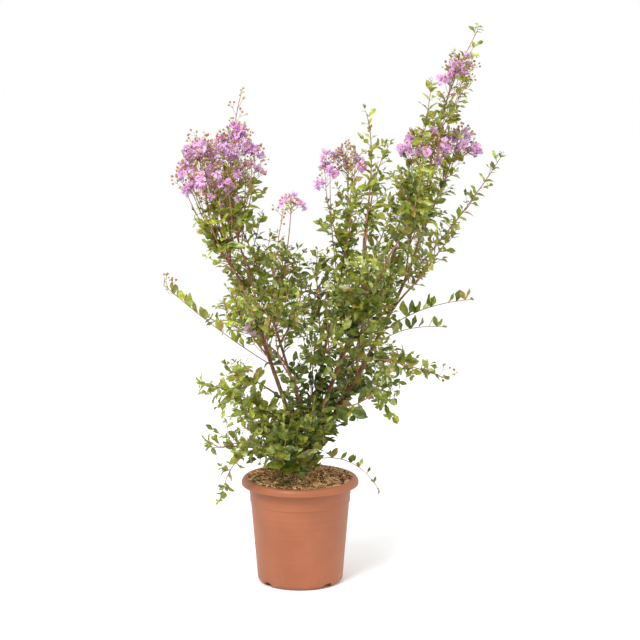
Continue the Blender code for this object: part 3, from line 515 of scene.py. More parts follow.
def terracottaPlastic():
    finish = Finish("terracotta plastic", (153, 90, 57), 0.46, {"Specular IOR Level": 0.42})
    cloud = finish.noise(9, 4)
    rings = finish.noise(60, 4, (0.06, 0.06, 3.5))                    # faint rubbed lines round the pot
    streaks = finish.noise(70, 3, (1.2, 1.2, 0.12))                   # pale scratches that run down
    scuff = finish.between(streaks, 0.62, 0.76) * (1 - finish.between(finish.height(), 0.02, 0.10))
    base = finish.mix(finish.between(cloud, 0.35, 0.68), (147, 85, 53), (157, 92, 59))
    base = finish.mix(finish.between(rings, 0.5, 0.8) * 0.22, base, (176, 112, 78))
    finish.give("Base Color", finish.mix(scuff * 0.45, base, (206, 152, 120)))
    finish.give("Roughness", 0.40 + 0.14 * cloud + 0.08 * finish.between(rings, 0.45, 0.8))
    finish.bump(finish.noise(900, 2) + 0.35 * rings, 0.08, 0.0005)
    return finish


def makePot():
    outline = turned(potOutline(), potShape["around"])
    piece = meshPiece("nurseryPot", outline, terracottaPlastic(), ["pot"])
    tools = bpy.data.collections.new("notches")
    bpy.context.scene.collection.children.link(tools)
    for width, angles in potShape["notches"]:
        for angle in angles:
            tools.objects.link(notchCutter(angle, width))
    cut = piece.modifiers.new("notches", "BOOLEAN")
    cut.operation = "DIFFERENCE"
    cut.operand_type = "COLLECTION"
    cut.collection = tools
    cut.solver = "EXACT"
    bpy.context.view_layer.update()
    carved = bpy.data.meshes.new_from_object(piece.evaluated_get(bpy.context.evaluated_depsgraph_get()))
    piece.modifiers.clear()
    piece.data = carved
    for tool in list(tools.objects):
        bpy.data.objects.remove(tool)
    bpy.data.collections.remove(tools)
    carved.polygons.foreach_set("use_smooth", np.full(len(carved.polygons), True))
    carved.set_sharp_from_angle(angle=math.radians(40))
    carved.name = "nurseryPot"
    print("pot made")


# Potting mix: a mound of crumbs under loose chips of bark

mixShape = dict(edge=0.2695, mound=0.2815, reach=0.1345, flatRadius=0.047, rings=70, around=220,
                lumpHeight=0.0022, waves=((160, 1.0), (310, 0.6), (560, 0.4), (900, 0.3)),
                shoulderShare=0.935, shoulderDepth=0.013, skirtShare=0.78, overFloor=0.0003)
chipShape = dict(count=4800, longest=0.023, shortest=0.008, width=0.0048, thickness=0.0014, tilt=0.40,
                 loose=0.0026, short=0.55, clearOf=(0.012, 0.020), clearBy=0.017)
chipTints = {"strawChips": ((232, 194, 136), 0.28), "tanChips": ((200, 148, 92), 0.36),
             "brownChips": ((140, 94, 58), 0.24), "darkChips": ((64, 42, 30), 0.12)}
chipLook = dict(roughness=0.85, grain=300, stretch=(1, 2.2, 1), dark=0.72, pale=1.18, bump=(0.35, 0.0008))


def moundHeight(radius):                              # from the wall up, as a quarter sine, to the middle
    share = np.clip((mixShape["reach"] - radius) / (mixShape["reach"] - mixShape["flatRadius"]), 0, 1)
    return mixShape["edge"] + (mixShape["mound"] - mixShape["edge"]) * np.sin(share * math.pi / 2)


def mixHeight(x, y, radius):                          # the mound with lumps, a sum of crossed waves
    total = np.zeros_like(x)
    for number, (wave, weight) in enumerate(mixShape["waves"]):
        cos, sin = math.cos(0.9 * number + 0.4), math.sin(0.9 * number + 0.4)
        total += weight * np.sin(wave * (x * cos + y * sin) + 1.7 * number) \
            * np.cos(wave * (y * cos - x * sin) + 0.6 * number)
    return moundHeight(radius) + mixShape["lumpHeight"] * (total - 0.9)


def makeMixBed():
    finish = Finish("fine bark crumbs", (92, 60, 36), 0.92)
    grain = finish.noise(420, 4)
    finish.give("Base Color", finish.mix(finish.between(grain, 0.36, 0.66), (46, 29, 18), (150, 104, 62)))
    finish.bump(grain, 0.6, 0.002)
    rings, around = mixShape["rings"], mixShape["around"]
    radius = np.linspace(0, mixShape["reach"], rings)[1:, None]
    x, y = radius * np.cos(circling(around)), radius * np.sin(circling(around))
    top = np.stack([x, y, mixHeight(x, y, radius)], axis=-1).reshape(-1, 3)
    edge = top[-around:] * [1, 1, 0]
    floor = potShape["floorTop"] + mixShape["overFloor"]
    shoulder = edge * mixShape["shoulderShare"] + [0, 0, potTop - mixShape["shoulderDepth"]]
    skirt = edge * mixShape["skirtShare"] + [0, 0, floor]
    points = np.concatenate([top, shoulder, skirt, [[0, 0, mixShape["mound"]], [0, 0, floor]]])
    ring = np.arange(around)
    following = (ring + 1) % around
    middle = np.stack([np.full(around, len(points) - 2), ring, following], axis=1)
    under = np.stack([np.full(around, len(points) - 1), following, ring], axis=1)
    under[:, 1:] += rings * around
    walls = gridFaces(rings + 1, around, closed=True)[:, ::-1]
    meshPiece("barkMixBed", (points, [walls, middle, under]), finish, ["potting_mix"])


def makeChips():
    # A chip is a bar of four square rings along ahead, each corner pushed in or out, and bowed a little.
    c = chipShape
    chance = np.random.default_rng(11)
    count = c["count"]
    reach = np.sqrt(chance.uniform(0, 1, count)) * (mixShape["reach"] - 0.003)
    bearing = chance.uniform(0, math.tau, count)
    x, y = reach * np.cos(bearing), reach * np.sin(bearing)
    spots = np.stack([x, y, mixHeight(x, y, reach) + chance.uniform(0, c["loose"], count)], axis=1)
    heading = chance.uniform(0, math.tau, count)
    slant = chance.normal(0, c["tilt"] * 0.5, count)
    ahead = unit(np.stack([np.cos(heading), np.sin(heading), slant], axis=1))
    up = unit(np.append(chance.normal(0, c["tilt"], (2, count)), np.ones((1, count)), axis=0).T)
    side = unit(np.cross(up, ahead))
    up = np.cross(ahead, side)
    long = c["shortest"] + (c["longest"] - c["shortest"]) * chance.power(0.6, count)
    long = np.where(chance.uniform(0, 1, count) < c["short"], c["shortest"] * 1.5, long)
    long = long * chance.uniform(0.7, 1.2, count)
    wide = c["width"] * chance.uniform(0.35, 1.5, count) * (0.6 + 0.4 * long / c["longest"])
    thick = c["thickness"] * chance.uniform(0.6, 1.6, count)
    stations = np.array([-0.5, -0.18, 0.2, 0.5])
    corners = np.array([[-1, -1], [1, -1], [1, 1], [-1, 1]]) / 2
    swell = chance.uniform(0.35, 1.1, (count, 4, 4, 2))
    swell[:, 1:3] = 0.75 + 0.25 * swell[:, 1:3]
    bow = (stations ** 2 * 4)[None, :, None] * (thick * chance.normal(0, 0.9, count))[:, None, None]
    across = corners[:, 0] * swell[..., 0] * wide[:, None, None]
    rise = corners[:, 1] * swell[..., 1] * thick[:, None, None] + bow
    on = stations[None, :, None] * long[:, None, None] * np.ones((1, 1, 4))
    points = placed(spots, (ahead, side, up), (on, across, rise))
    inPot = (np.hypot(points[..., 0], points[..., 1]) < mixShape["reach"] + 0.003).all(axis=1)
    offTrunk = np.hypot(x - c["clearOf"][0], y - c["clearOf"][1]) > c["clearBy"]
    points = points[inPot & offTrunk]
    faces = [gridFaces(4, 4, closed=True), np.array([[3, 2, 1, 0], [12, 13, 14, 15]])]
    lot = chance.uniform(0, 1, len(points))
    start = 0.0
    for name, (colour, weight) in chipTints.items():
        chosen = points[(lot >= start) & (lot < start + weight)]
        start += weight
        finish = grained(name, colour, chipLook)
        meshPiece(name, copies(chosen, faces), finish, smooth=False)
    print("potting mix:", len(points), "chips")


# Litter on the mix: a kind's count, length and colour

litterKinds = {"fallenPetals": (14, 0.012, (150, 62, 100)), "fallenLeaves": (7, 0.026, (92, 104, 40)),
               "dryLeaves": (3, 0.032, (64, 44, 36))}


def makeLitter():
    for number, (name, (count, length, colour)) in enumerate(litterKinds.items()):
        chance = np.random.default_rng(60 + number)
        radius = mixShape["reach"] * 0.93 * np.sqrt(chance.uniform(0.15, 1, count))
        turn, way = chance.uniform(0, math.tau, (2, count))
        spot = np.stack([radius * np.cos(turn), radius * np.sin(turn), moundHeight(radius) + 0.0045], axis=1)
        heading = unit(np.stack([np.cos(way), np.sin(way), chance.uniform(-0.1, 0.35, count)], axis=1))
        level = np.cross(heading, skyward)
        normal = unit(np.cross(level, heading) + 0.2 * level)
        rows = np.column_stack([spot, heading, normal, length * chance.uniform(0.7, 1.15, count)])
        blades = copies(leafBlades(rows, 70 + number), leafFaces)
        meshPiece(name, blades, leafFinish(name, colour), ["potting_mix"])


# Trunk, stems and boughs

trunkShape = dict(foot=(0.012, 0.020, 0.2765), tip=(0.015, 0.020, 0.3350), ring=0.0094, buried=0.016)
trunkRows = [(0.0, 0.0205), (0.10, 0.0172), (0.22, 0.0146), (0.42, 0.0126), (0.66, 0.0124), (0.84, 0.0136),
             (0.95, 0.0136), (1.03, 0.0118), (1.09, 0.0082), (1.12, 0.0040)]
barkRelief = dict(rowStep=0.0032, sides=20, ridge=0.055, node=0.16, nodeStep=0.026, collar=0.45,
                  collarReach=0.011)


def barkFinish():
    finish = Finish("reddish bark", (136, 88, 68), 0.72)
    streak = finish.noise(240, 4, (1, 1, 0.14))
    patch = finish.noise(42, 3, (1, 1, 0.45))
    base = finish.mix(finish.between(streak, 0.34, 0.66), (92, 56, 38), (146, 98, 68))
    finish.give("Base Color", finish.mix(finish.between(patch, 0.56, 0.70) * 0.7, base, (168, 128, 94)))
    finish.give("Roughness", 0.60 + 0.25 * patch)
    finish.bump(streak + 0.5 * patch, 0.5, 0.0012)
    return finish


def barkTube(line, radii, sides, seed):
    # A tube whose radius is r * (1 + ridges along it + a low swelling at each node, on alternate sides).
    b = barkRelief
    rows = max(8, int(line.length / b["rowStep"]))
    path = line.even(rows)
    s = np.linspace(0, line.length, rows)[:, None]
    angle = circling(sides)[None]
    phase = np.random.default_rng(seed).uniform(0, math.tau, 6)
    relief = np.sin(3 * angle + 38 * s + phase[0]) + 0.7 * np.sin(5 * angle - 61 * s + phase[1])
    relief = b["ridge"] * (relief + 0.5 * np.sin(2 * angle + 210 * s + phase[2])) / 2
    node = np.cos(np.pi * s / b["nodeStep"] + phase[3]) ** 16
    relief = relief + b["node"] * node * np.maximum(0, np.cos(angle - 2.4 * np.floor(s / b["nodeStep"])))
    points, faces = tubes(path[None], np.interp(s[:, 0] / line.length, *radii)[None], sides)
    path = path[:, None]
    return path + (points.reshape(rows, sides, 3) - path) * (1 + relief)[..., None], faces


def camelCase(name):
    first, *others = name.split("_")
    return first + "".join(word.title() for word in others)


def makeBark():
    finish = barkFinish()
    foot, tip = np.array(trunkShape["foot"]), np.array(trunkShape["tip"])
    rows = np.array(trunkRows)
    limbs = {"trunk": Line(np.linspace(foot + [0, 0, 0.0038], tip, 40), 0.014, 0.014)}
    body = Line(foot + (tip - foot) * rows[:, :1], 0.014, 0.014)
    shape = barkTube(body, (rows[:, 0] / rows[-1, 0], rows[:, 1]), 28, 1)
    meshPiece("trunkBark", shape, finish, ["trunk"])
    shares = np.linspace(0, 1, 60)
    for number, (name, (parent, share, way, tip, radii)) in enumerate(boughs.items()):
        start = limbs[parent].at(share)[0]
        if name in ringTurns:
            turn = math.radians(ringTurns[name])
            start = start + np.array([math.cos(turn), math.sin(turn), 0]) * trunkShape["ring"]
        line = limbs[name] = Line(bend(start, way, tip, 160), *radii)
        if name in ringTurns:                         # the foot is carried on down inside the trunk
            line = Line(np.concatenate([[start - [0, 0, trunkShape["buried"]]], line.points]), *radii)
        flare = 1 + barkRelief["collar"] * np.exp(-shares * line.length / barkRelief["collarReach"])
        widths = np.interp(shares, [0, 1], radii) * flare
        shape = barkTube(line, (shares, widths), barkRelief["sides"], 20 + number)
        meshPiece(camelCase(name) + "Bark", shape, finish, [name])
    print("bark:", len(limbs), "limbs")
    return limbs


# Shoots, sprays and leaves

shootRule = dict(stemRadius=0.0026, stemTip=0.0009, twigRadius=0.0013, twigTip=0.0007, sprayRadius=0.0008,
                 sprayTip=0.0004, topTwig=0.90, twigBare=0.22, twigLean=52, twigTaper=0.62, moreTwigs=1.5,
                 sprayStep=0.021, twigSprayStep=0.020, sprayLength=0.070, stemPairs=0.60, twigPairs=0.45,
                 pairLean=0.85, pairStep=0.027, pairLeaves=0.75, flowerSprayStep=0.033, flowerPairs=0.6,
                 tipShare=0.48, sprayLean=46, sprayLift=0.14, leafStep=0.0160, pairShare=0.36, crowding=1.2)
leafRule = dict(longest=0.046, width=0.49, rows=7, columns=5, blunt=0.80, widest=1.10, stalkWidth=0.10,
                fold=0.36, curl=0.20, wave=0.30, waves=1.5, twist=0.35, toSky=0.50, rise=0.10, scatter=0.35,
                overMix=0.020)
leafTints = {"deepLeaves": (52, 66, 14), "darkLeaves": (74, 88, 20), "middleLeaves": (96, 106, 28),
             "oliveLeaves": (122, 124, 42), "lightLeaves": (142, 150, 56), "freshLeaves": (164, 174, 56),
             "paleLeaves": (142, 152, 92), "bronzeLeaves": (136, 116, 58)}
oddLeaves = dict(paleLeaves=0.09, bronzeLeaves=0.06)  # the share of leaves that are duller or reddish
leafLook = dict(roughness=0.38, others={"Specular IOR Level": 0.5}, grain=110, edges=(0.34, 0.66), dark=0.80,
                pale=1.12, more=8, glow=0.20, gains=(1.45, 1.50, 0.9))
leafFaces = [gridFaces(leafRule["rows"], leafRule["columns"])]


class Garden:                                         # all that grows on the limbs, gathered kind by kind
    def __init__(self):
        self.stems, self.twigs, self.sprays = [], [], []
        self.leaves, self.blooms, self.buds = [], [], []

    def leaf(self, spot, heading, face, length, tone):
        self.leaves.append((*spot, *heading, *unit(face - heading * face.dot(heading)), length, tone))


def curved(place, heading, length, rise, chance, count):
    # A twig's line: straight on by heading, bent towards the sky by rise at its tip, with a slight sway.
    t = np.linspace(0, 1, count)[:, None]
    sway = np.cross(heading, skyward) * chance.uniform(-0.10, 0.10)
    return place + length * (heading * t + (skyward * rise + sway) * t ** 2)


def sideways(direction, turn):                        # a unit arrow square to direction, turned round it
    level = np.cross(direction, skyward)
    if np.linalg.norm(level) < 0.1:
        level = np.cross(direction, [0.0, 1.0, 0.0])
    level = unit(level)
    return level * math.cos(turn) + np.cross(direction, level) * math.sin(turn)


def inBox(points, margin=0.003):                      # which points lie within the solids' own box
    return ((points > boxLow + margin) & (points < boxHigh - margin)).all(axis=-1)


def growLeaf(garden, spot, direction, out, length, tone, chance, lean=0.95):
    lean = lean + chance.uniform(-0.25, 0.25)
    heading = unit(direction * math.cos(lean) + out * math.sin(lean) + skyward * leafRule["rise"])
    face = direction * math.sin(lean) - out * math.cos(lean) + skyward * leafRule["toSky"]
    face = face + np.array([chance.gauss(0, leafRule["scatter"]) for _ in range(3)])
    garden.leaf(spot, heading, face, length * chance.uniform(0.72, 1.15), tone)


def growSpray(garden, place, heading, normal, length, size, tone, chance):
    rule = shootRule
    points = curved(place, heading, length, chance.uniform(-0.10, 0.22), chance, 4)
    if not inBox(points[-1]):
        return
    line = Line(points, rule["sprayRadius"], rule["sprayTip"])
    garden.sprays.append((points, line.radii))
    side = unit(np.cross(heading, normal))
    longest = size * leafRule["longest"]
    steps = max(2, round(length / rule["leafStep"]))
    for k in range(steps):
        share = (k + 0.75) / steps
        spot, direction = line.at(min(share, 0.98))
        out = side if k % 2 else -side
        blade = longest * (1 - 0.35 * share)
        growLeaf(garden, spot, direction, out, blade, tone, chance)
        if chance.random() < rule["pairShare"]:
            growLeaf(garden, spot, direction, -out, blade * 0.9, tone, chance)
    direction = unit(points[-1] - points[-2])
    growLeaf(garden, points[-1], direction, side, longest * 0.62, tone, chance, lean=0.15)


def growSprays(garden, line, first, last, step, size, tone, chance, pairs=0):
    # Nodes along a line: pairs of leaves at a share of them, and a short spray at each of the others.
    rule = shootRule
    count = max(1, round(line.length * (last - first) / step))
    turn = chance.uniform(0, math.tau)
    shares = [first + (last - first) * ((k + 0.5) / count) ** rule["crowding"] for k in range(count)]
    shares.append(min(last, 0.995))
    for k, share in enumerate(shares):
        spot, direction = line.at(share)
        out = sideways(direction, turn + goldenTurn * k + chance.uniform(-0.4, 0.4))
        lean = math.radians(rule["sprayLean"]) + chance.uniform(-0.25, 0.25)
        if k == count:                                # the last one carries the line on
            lean = 0.15
        heading = unit(direction * math.cos(lean) + out * math.sin(lean) + skyward * rule["sprayLift"])
        face = direction * math.sin(lean) - out * math.cos(lean) + skyward * leafRule["toSky"]
        normal = unit(face - heading * face.dot(heading))
        shrink = 1 + (rule["tipShare"] - 1) * share
        length = rule["sprayLength"] * size * shrink * chance.uniform(0.75, 1.15)
        shade = tone + 0.22 * (share - 0.4) + chance.gauss(0, 0.08)
        if k < count and chance.random() < pairs:
            blade = leafRule["longest"] * size * (1.05 - 0.35 * share)
            for each in (out, -out):
                growLeaf(garden, spot, direction, each, blade, shade, chance, lean=rule["pairLean"])
            continue
        fullness = 0.55 if k == count else 0.5 + 0.5 * shrink
        growSpray(garden, spot, heading, normal, length * fullness, size * fullness, shade, chance)


sideShoot = dict(lowest=0.4, flat=0.8, forward=0.3, bow=0.22, thicker=1.3, leavesFrom=0.10, leavesTo=0.55,
                 panicle=0.05)


def growSideShoots(garden, stem, flowers, dense, large, tone, chance):
    # Long shoots beside the stem, each with a panicle of its own. Their tips hang lower and lower.
    rule = shootRule
    s = sideShoot
    turn = chance.uniform(0, math.tau)
    count = flowers.get("side", 0)
    top = stem.at(flowers.get("end", 1))[0]
    for k in range(count):
        start = stem.at(flowers["sideFrom"] * (s["lowest"] + (1 - s["lowest"]) * k / count))[0]
        wide = flowers["sideReach"] * math.sqrt((k + 0.8) / count)
        angle = turn + goldenTurn * k
        out = np.array([math.cos(angle), s["flat"] * math.sin(angle) - s["forward"], 0])
        end = top + out * wide - skyward * flowers["sideDrop"] * (k + chance.random()) / count
        way = (start + end) / 2 + out * s["bow"] * wide
        shoot = Line(bend(start, way, end, 26), rule["twigRadius"] * s["thicker"], rule["twigTip"])
        garden.stems.append((shoot.even(26), shoot.radii))
        step = rule["flowerSprayStep"] / dense
        growSprays(garden, shoot, s["leavesFrom"], s["leavesTo"], step, large, tone, chance,
                   rule["flowerPairs"])
        growPanicle(garden, shoot, s["panicle"], flowers["sideBlooms"], 1, 1, chance)


def growPairs(garden, stem, first, last, large, tone, chance):
    # Leaves in pairs on a thin shoot itself. Both leaves of a pair stand up from it.
    nodes = round(stem.length * (last - first) / shootRule["pairStep"])
    for k in range(nodes):
        share = first + (last - first) * (k + 0.5) / nodes
        spot, direction = stem.at(share)
        for turn in (0, math.pi):
            level = sideways(direction, turn)
            heading = level * chance.uniform(0.2, 1.1) + skyward + direction * chance.uniform(-0.1, 0.7)
            face = level * chance.uniform(0.2, 1.2) + direction * chance.uniform(-0.6, 0.6) - skyward * 0.4
            if chance.random() < shootRule["pairLeaves"]:
                length = leafRule["longest"] * large * (1.20 - 0.45 * share) * chance.uniform(0.7, 1.1)
                garden.leaf(spot, unit(heading), face, length, tone + chance.gauss(0, 0.1))
    direction = stem.at(1)[1]
    growLeaf(garden, stem.points[-1], direction, sideways(direction, 0), 0.022, tone + 0.1, chance, lean=0.2)


def growMass(garden, name, row, flowers, limbs):
    rule = shootRule
    parent, start, way, tip, reach, twigs, bare, lift, dense, large, tone, seed = row
    chance = random.Random(name + str(seed))
    foot = limbs[parent].at(start)[0]
    stem = Line(bend(foot, way, tip, 30), rule["stemRadius" if twigs else "twigRadius"], rule["stemTip"])
    garden.stems.append((stem.even(26), stem.radii[np.linspace(0, 29, 26).astype(int)]))
    leafyEnd = 1.0
    if "panicle" in flowers:
        size = flowers["panicle"]
        if "end" not in flowers:
            leafyEnd = 1 - flowerRule["leafless"] * size / stem.length
        blooms, end = flowers.get("blooms", 0), flowers.get("end", 1)
        growPanicle(garden, stem, size, blooms, flowers["buds"], end, chance)
    leafyEnd = flowers.get("leafyEnd", leafyEnd)
    growSideShoots(garden, stem, flowers, dense, large, tone, chance)
    for k in range(flowers.get("budTip", 0)):
        spot, direction = stem.at(1 - 0.22 * k / flowers["budTip"])
        growCyme(garden, spot, unit(direction + sideways(direction, goldenTurn * k) * 0.8), 0.018, 1, chance)
    if not twigs:                                     # a weeping shoot
        growPairs(garden, stem, bare, leafyEnd, large, tone, chance)
        return
    count = round(twigs * rule["moreTwigs"])
    turn = chance.uniform(0, math.tau)
    for k in range(count):
        share = bare + (rule["topTwig"] * leafyEnd - bare) * (k + 0.3) / count
        spot, direction = stem.at(share)
        out = sideways(direction, turn + goldenTurn * k + chance.uniform(-0.35, 0.35))
        lean = math.radians(rule["twigLean"]) + chance.uniform(-0.15, 0.15)
        heading = unit(direction * math.cos(lean) + out * math.sin(lean))
        length = reach * (1 - rule["twigTaper"] * share) * chance.uniform(0.85, 1.1)
        points = curved(spot, heading, length, lift, chance, 6)
        if not inBox(points[-1]):
            continue
        twig = Line(points, rule["twigRadius"], rule["twigTip"])
        garden.twigs.append((points, twig.radii))
        size = large * (1 - 0.2 * share)
        growSprays(garden, twig, rule["twigBare"], 1, rule["twigSprayStep"] / dense, size, tone, chance,
                   rule["twigPairs"])
    growSprays(garden, stem, bare, leafyEnd, rule["sprayStep"] / dense, large * 0.95, tone, chance,
               rule["stemPairs"])
    for share in flowers.get("stray", ()):
        spot, direction = stem.at(share)
        out = unit(sideways(direction, chance.uniform(0, math.tau)) + [0, -1.5, 0])
        for ahead, length in ((0.4, 0.028), (0.9, 0.036)):
            growCyme(garden, spot, unit(direction * ahead + out), length, 0.2, chance)


# Short sprays on the limbs themselves, inside the crown: the first and last share of the limb, the step, the
# tone and the seed.
limbSprays = {
    "trunk": (0.5, 0.98, 0.053, 0.28, 7091),
    "front_stem": (0.1, 1.0, 0.021, 0.22, 11105),
    "centre_stem": (0.05, 0.95, 0.055, 0.22, 11013),
    "right_stem": (0.04, 0.6, 0.008, 0.22, 11134),
    "far_stem": (0.04, 0.8, 0.014, 0.2, 11115),
    "left_stem": (0.02, 0.22, 0.017, 0.26, 11111),
    "back_stem": (0.1, 1.0, 0.026, 0.3, 11131),
    "back_right_stem": (0.1, 1.0, 0.012, 0.32, 11052),
}


def leafBlades(rows, seed):
    # A leaf is a grid over t, from its stalk to its tip, and v, from edge to edge. Its half width goes as
    # sin(pi t^widest)^blunt. The halves fold up along the midrib, the edge waves, and the tip curls down
    # and twists a little.
    rule = leafRule
    spot, heading, normal = rows[:, 0:3], rows[:, 3:6], rows[:, 6:9]
    length = rows[:, 9][:, None, None]
    t = np.linspace(0, 1, rule["rows"])[None, :, None]
    v = np.linspace(-1, 1, rule["columns"])[None, None, :]
    vary = np.random.default_rng(seed).uniform(-1, 1, (6, len(rows), 1, 1))
    outline = np.sin(np.pi * t ** (rule["widest"] + 0.15 * vary[0])) ** rule["blunt"]
    half = np.maximum(outline, rule["stalkWidth"]) * length * rule["width"] * (1 + 0.14 * vary[1]) / 2
    fold = rule["fold"] * (1 + 0.6 * vary[2])
    swing = rule["twist"] * vary[3] * t
    wave = rule["wave"] * (1 + 0.5 * vary[4]) * half * v * v
    wave = wave * np.sin(math.tau * rule["waves"] * t + 3.1 * vary[5] + 1.3 * np.sign(v))
    wave = wave * np.minimum(1, 4 * (1 - t))
    across = v * half * np.cos(fold)
    rise = np.abs(v) * half * np.sin(fold) + wave
    drop = rule["curl"] * (1 + 0.8 * vary[2]) * length * t ** 2
    x = across * np.cos(swing) - rise * np.sin(swing)
    z = across * np.sin(swing) + rise * np.cos(swing) - drop
    on = np.broadcast_to(length * (t - 0.06 * t * t), x.shape)
    return placed(spot, (heading, np.cross(heading, normal), normal), (on, x, z))


def leafFinish(name, colour):
    return grained(name, colour, leafLook)


def makeLeaves(garden):
    rows = np.array(garden.leaves)
    points = leafBlades(rows, 5)
    overPot = np.hypot(points[..., 0], points[..., 1]) < rimRadius + 0.002
    inMix = (overPot & (points[..., 2] < mixShape["mound"] + leafRule["overMix"])).any(axis=1)
    kept = inBox(points, 0).all(axis=1) & ~inMix
    shades = len(leafTints) - len(oddLeaves)
    drift, odd = np.random.default_rng(6).uniform(0, 1, (2, len(rows)))
    step = (drift > 0.78).astype(int) - (drift < 0.22).astype(int)
    grade = np.clip((np.clip(rows[:, 10], 0, 0.999) * shades).astype(int) + step, 0, shades - 1)
    grade[odd < oddLeaves["paleLeaves"]] = shades
    grade[odd > 1 - oddLeaves["bronzeLeaves"]] = shades + 1
    for number, (name, colour) in enumerate(leafTints.items()):
        chosen = points[kept & (grade == number)]
        meshPiece(name, copies(chosen, leafFaces), leafFinish(name, colour), masses)
        print(name, len(chosen))
    print("leaves:", int(kept.sum()), "of", len(rows))


# Flowers

flowerRule = dict(leafless=0.55, stalk=0.013, spread=0.34, branches=4.2, budBranches=1.5,
                  petalLength=0.0100, clawLength=0.0045, crinkle=0.0031, stamens=8, budShare=0.50,
                  budTop=0.12, budRadius=0.0033, cymeSpread=0.019, cymeRise=0.18, floretRadius=0.018)
petalShape = dict(stations=(0.0, 0.28, 0.42, 0.58, 0.76, 0.92, 1.0),
                  widths=(0.07, 0.07, 0.34, 0.50, 0.54, 0.40, 0.22), columns=6, uneven=0.22,
                  lengths=(0.66, 1.16), cup=0.42, cupVaries=0.52, droop=0.26)
calyxShape = dict(depths=(-0.0012, 0, 0.0022, 0.0034), radii=(0.0006, 0.0021, 0.0030, 0.0026))
stamenShape = dict(lengths=(0.0045, 0.0080), tilts=(0.05, 0.75), foot=0.0025,
                   stations=(0, 0.86, 0.93, 1.0, 1.06), radii=(0.00022, 0.00018, 0.00062, 0.00066, 0.0002))
budShape = dict(stations=(-0.95, -0.6, 0.0, 0.55, 0.9, 1.18), widths=(0.22, 0.78, 1.0, 0.80, 0.38, 0.06))
petalTints = {"brightPetals": (240, 203, 240), "lilacPetals": (236, 193, 236), "deepPetals": (224, 174, 224)}
petalLook = dict(roughness=0.55, others={"Sheen Weight": 0.15}, grain=260, dark=0.88, pale=1.06, more=5,
                 glow=0.52, gains=(1.04, 1.04, 1.04))
budTints = {"greenBuds": (158, 150, 90), "redBuds": (150, 94, 68)}
budLook = dict(roughness=0.5, grain=320, detail=2, dark=0.85, pale=1.12)
barkTints = {"leaderShoots": (146, 98, 74), "sideTwigs": (150, 112, 74), "sprayStalks": (146, 128, 70)}
barkLook = dict(roughness=0.62, grain=200, stretch=(1, 1, 0.3), dark=0.80, pale=1.15)


def growPanicle(garden, line, size, blooms, buds, last, chance):
    # Branchlets leave the line's last stretch all round it, the lowest longest. Each ends in a few florets
    # and buds on short stalks of their own.
    rule = flowerRule
    count = max(3, round(blooms * rule["branches"] + buds * rule["budBranches"]))
    bloomShare = blooms / (blooms + buds)
    turn = chance.uniform(0, math.tau)
    for k in range(count):
        down = 1 - (k + 0.7) / count
        spot, direction = line.at(min(max(last - down * size / line.length, 0), 1))
        out = sideways(direction, turn + goldenTurn * k)
        heading = unit(direction * 0.75 + out + skyward * 0.15)
        length = (rule["stalk"] + rule["spread"] * size * math.sqrt(down)) * chance.uniform(0.35, 1.1)
        allBuds = down < rule["budTop"] or chance.random() > bloomShare * 1.2
        growCyme(garden, spot, heading, length, 1 if allBuds else rule["budShare"], chance)


def growCyme(garden, spot, heading, length, budShare, chance):
    # A branchlet that forks at its end into three short stalks, each with a bud or a floret.
    rule = flowerRule
    points = curved(spot, heading, length, rule["cymeRise"], chance, 4)
    if not inBox(points[-1]):
        return
    garden.sprays.append((points, np.linspace(0.0008, 0.0005, 4)))
    end, ahead = points[-1], unit(points[-1] - points[-2])
    for j in range(3):
        aside = sideways(ahead, 2.1 * j + chance.uniform(-0.5, 0.5))
        way = unit(ahead + aside * (0.75 if j else 0.15))
        tip = end + way * chance.uniform(0.4, 1.0) * rule["cymeSpread"]
        if not inBox(tip + way * rule["floretRadius"]):
            continue
        garden.sprays.append((np.linspace(end, tip, 4), np.linspace(0.0005, 0.0004, 4)))
        if chance.random() < budShare:
            garden.buds.append((*tip, *way, chance.uniform(0.7, 1.1), chance.random()))
        else:
            way = unit(way + skyward * 0.2)
            garden.blooms.append((*tip, *way, chance.uniform(0.82, 1.12), chance.random()))


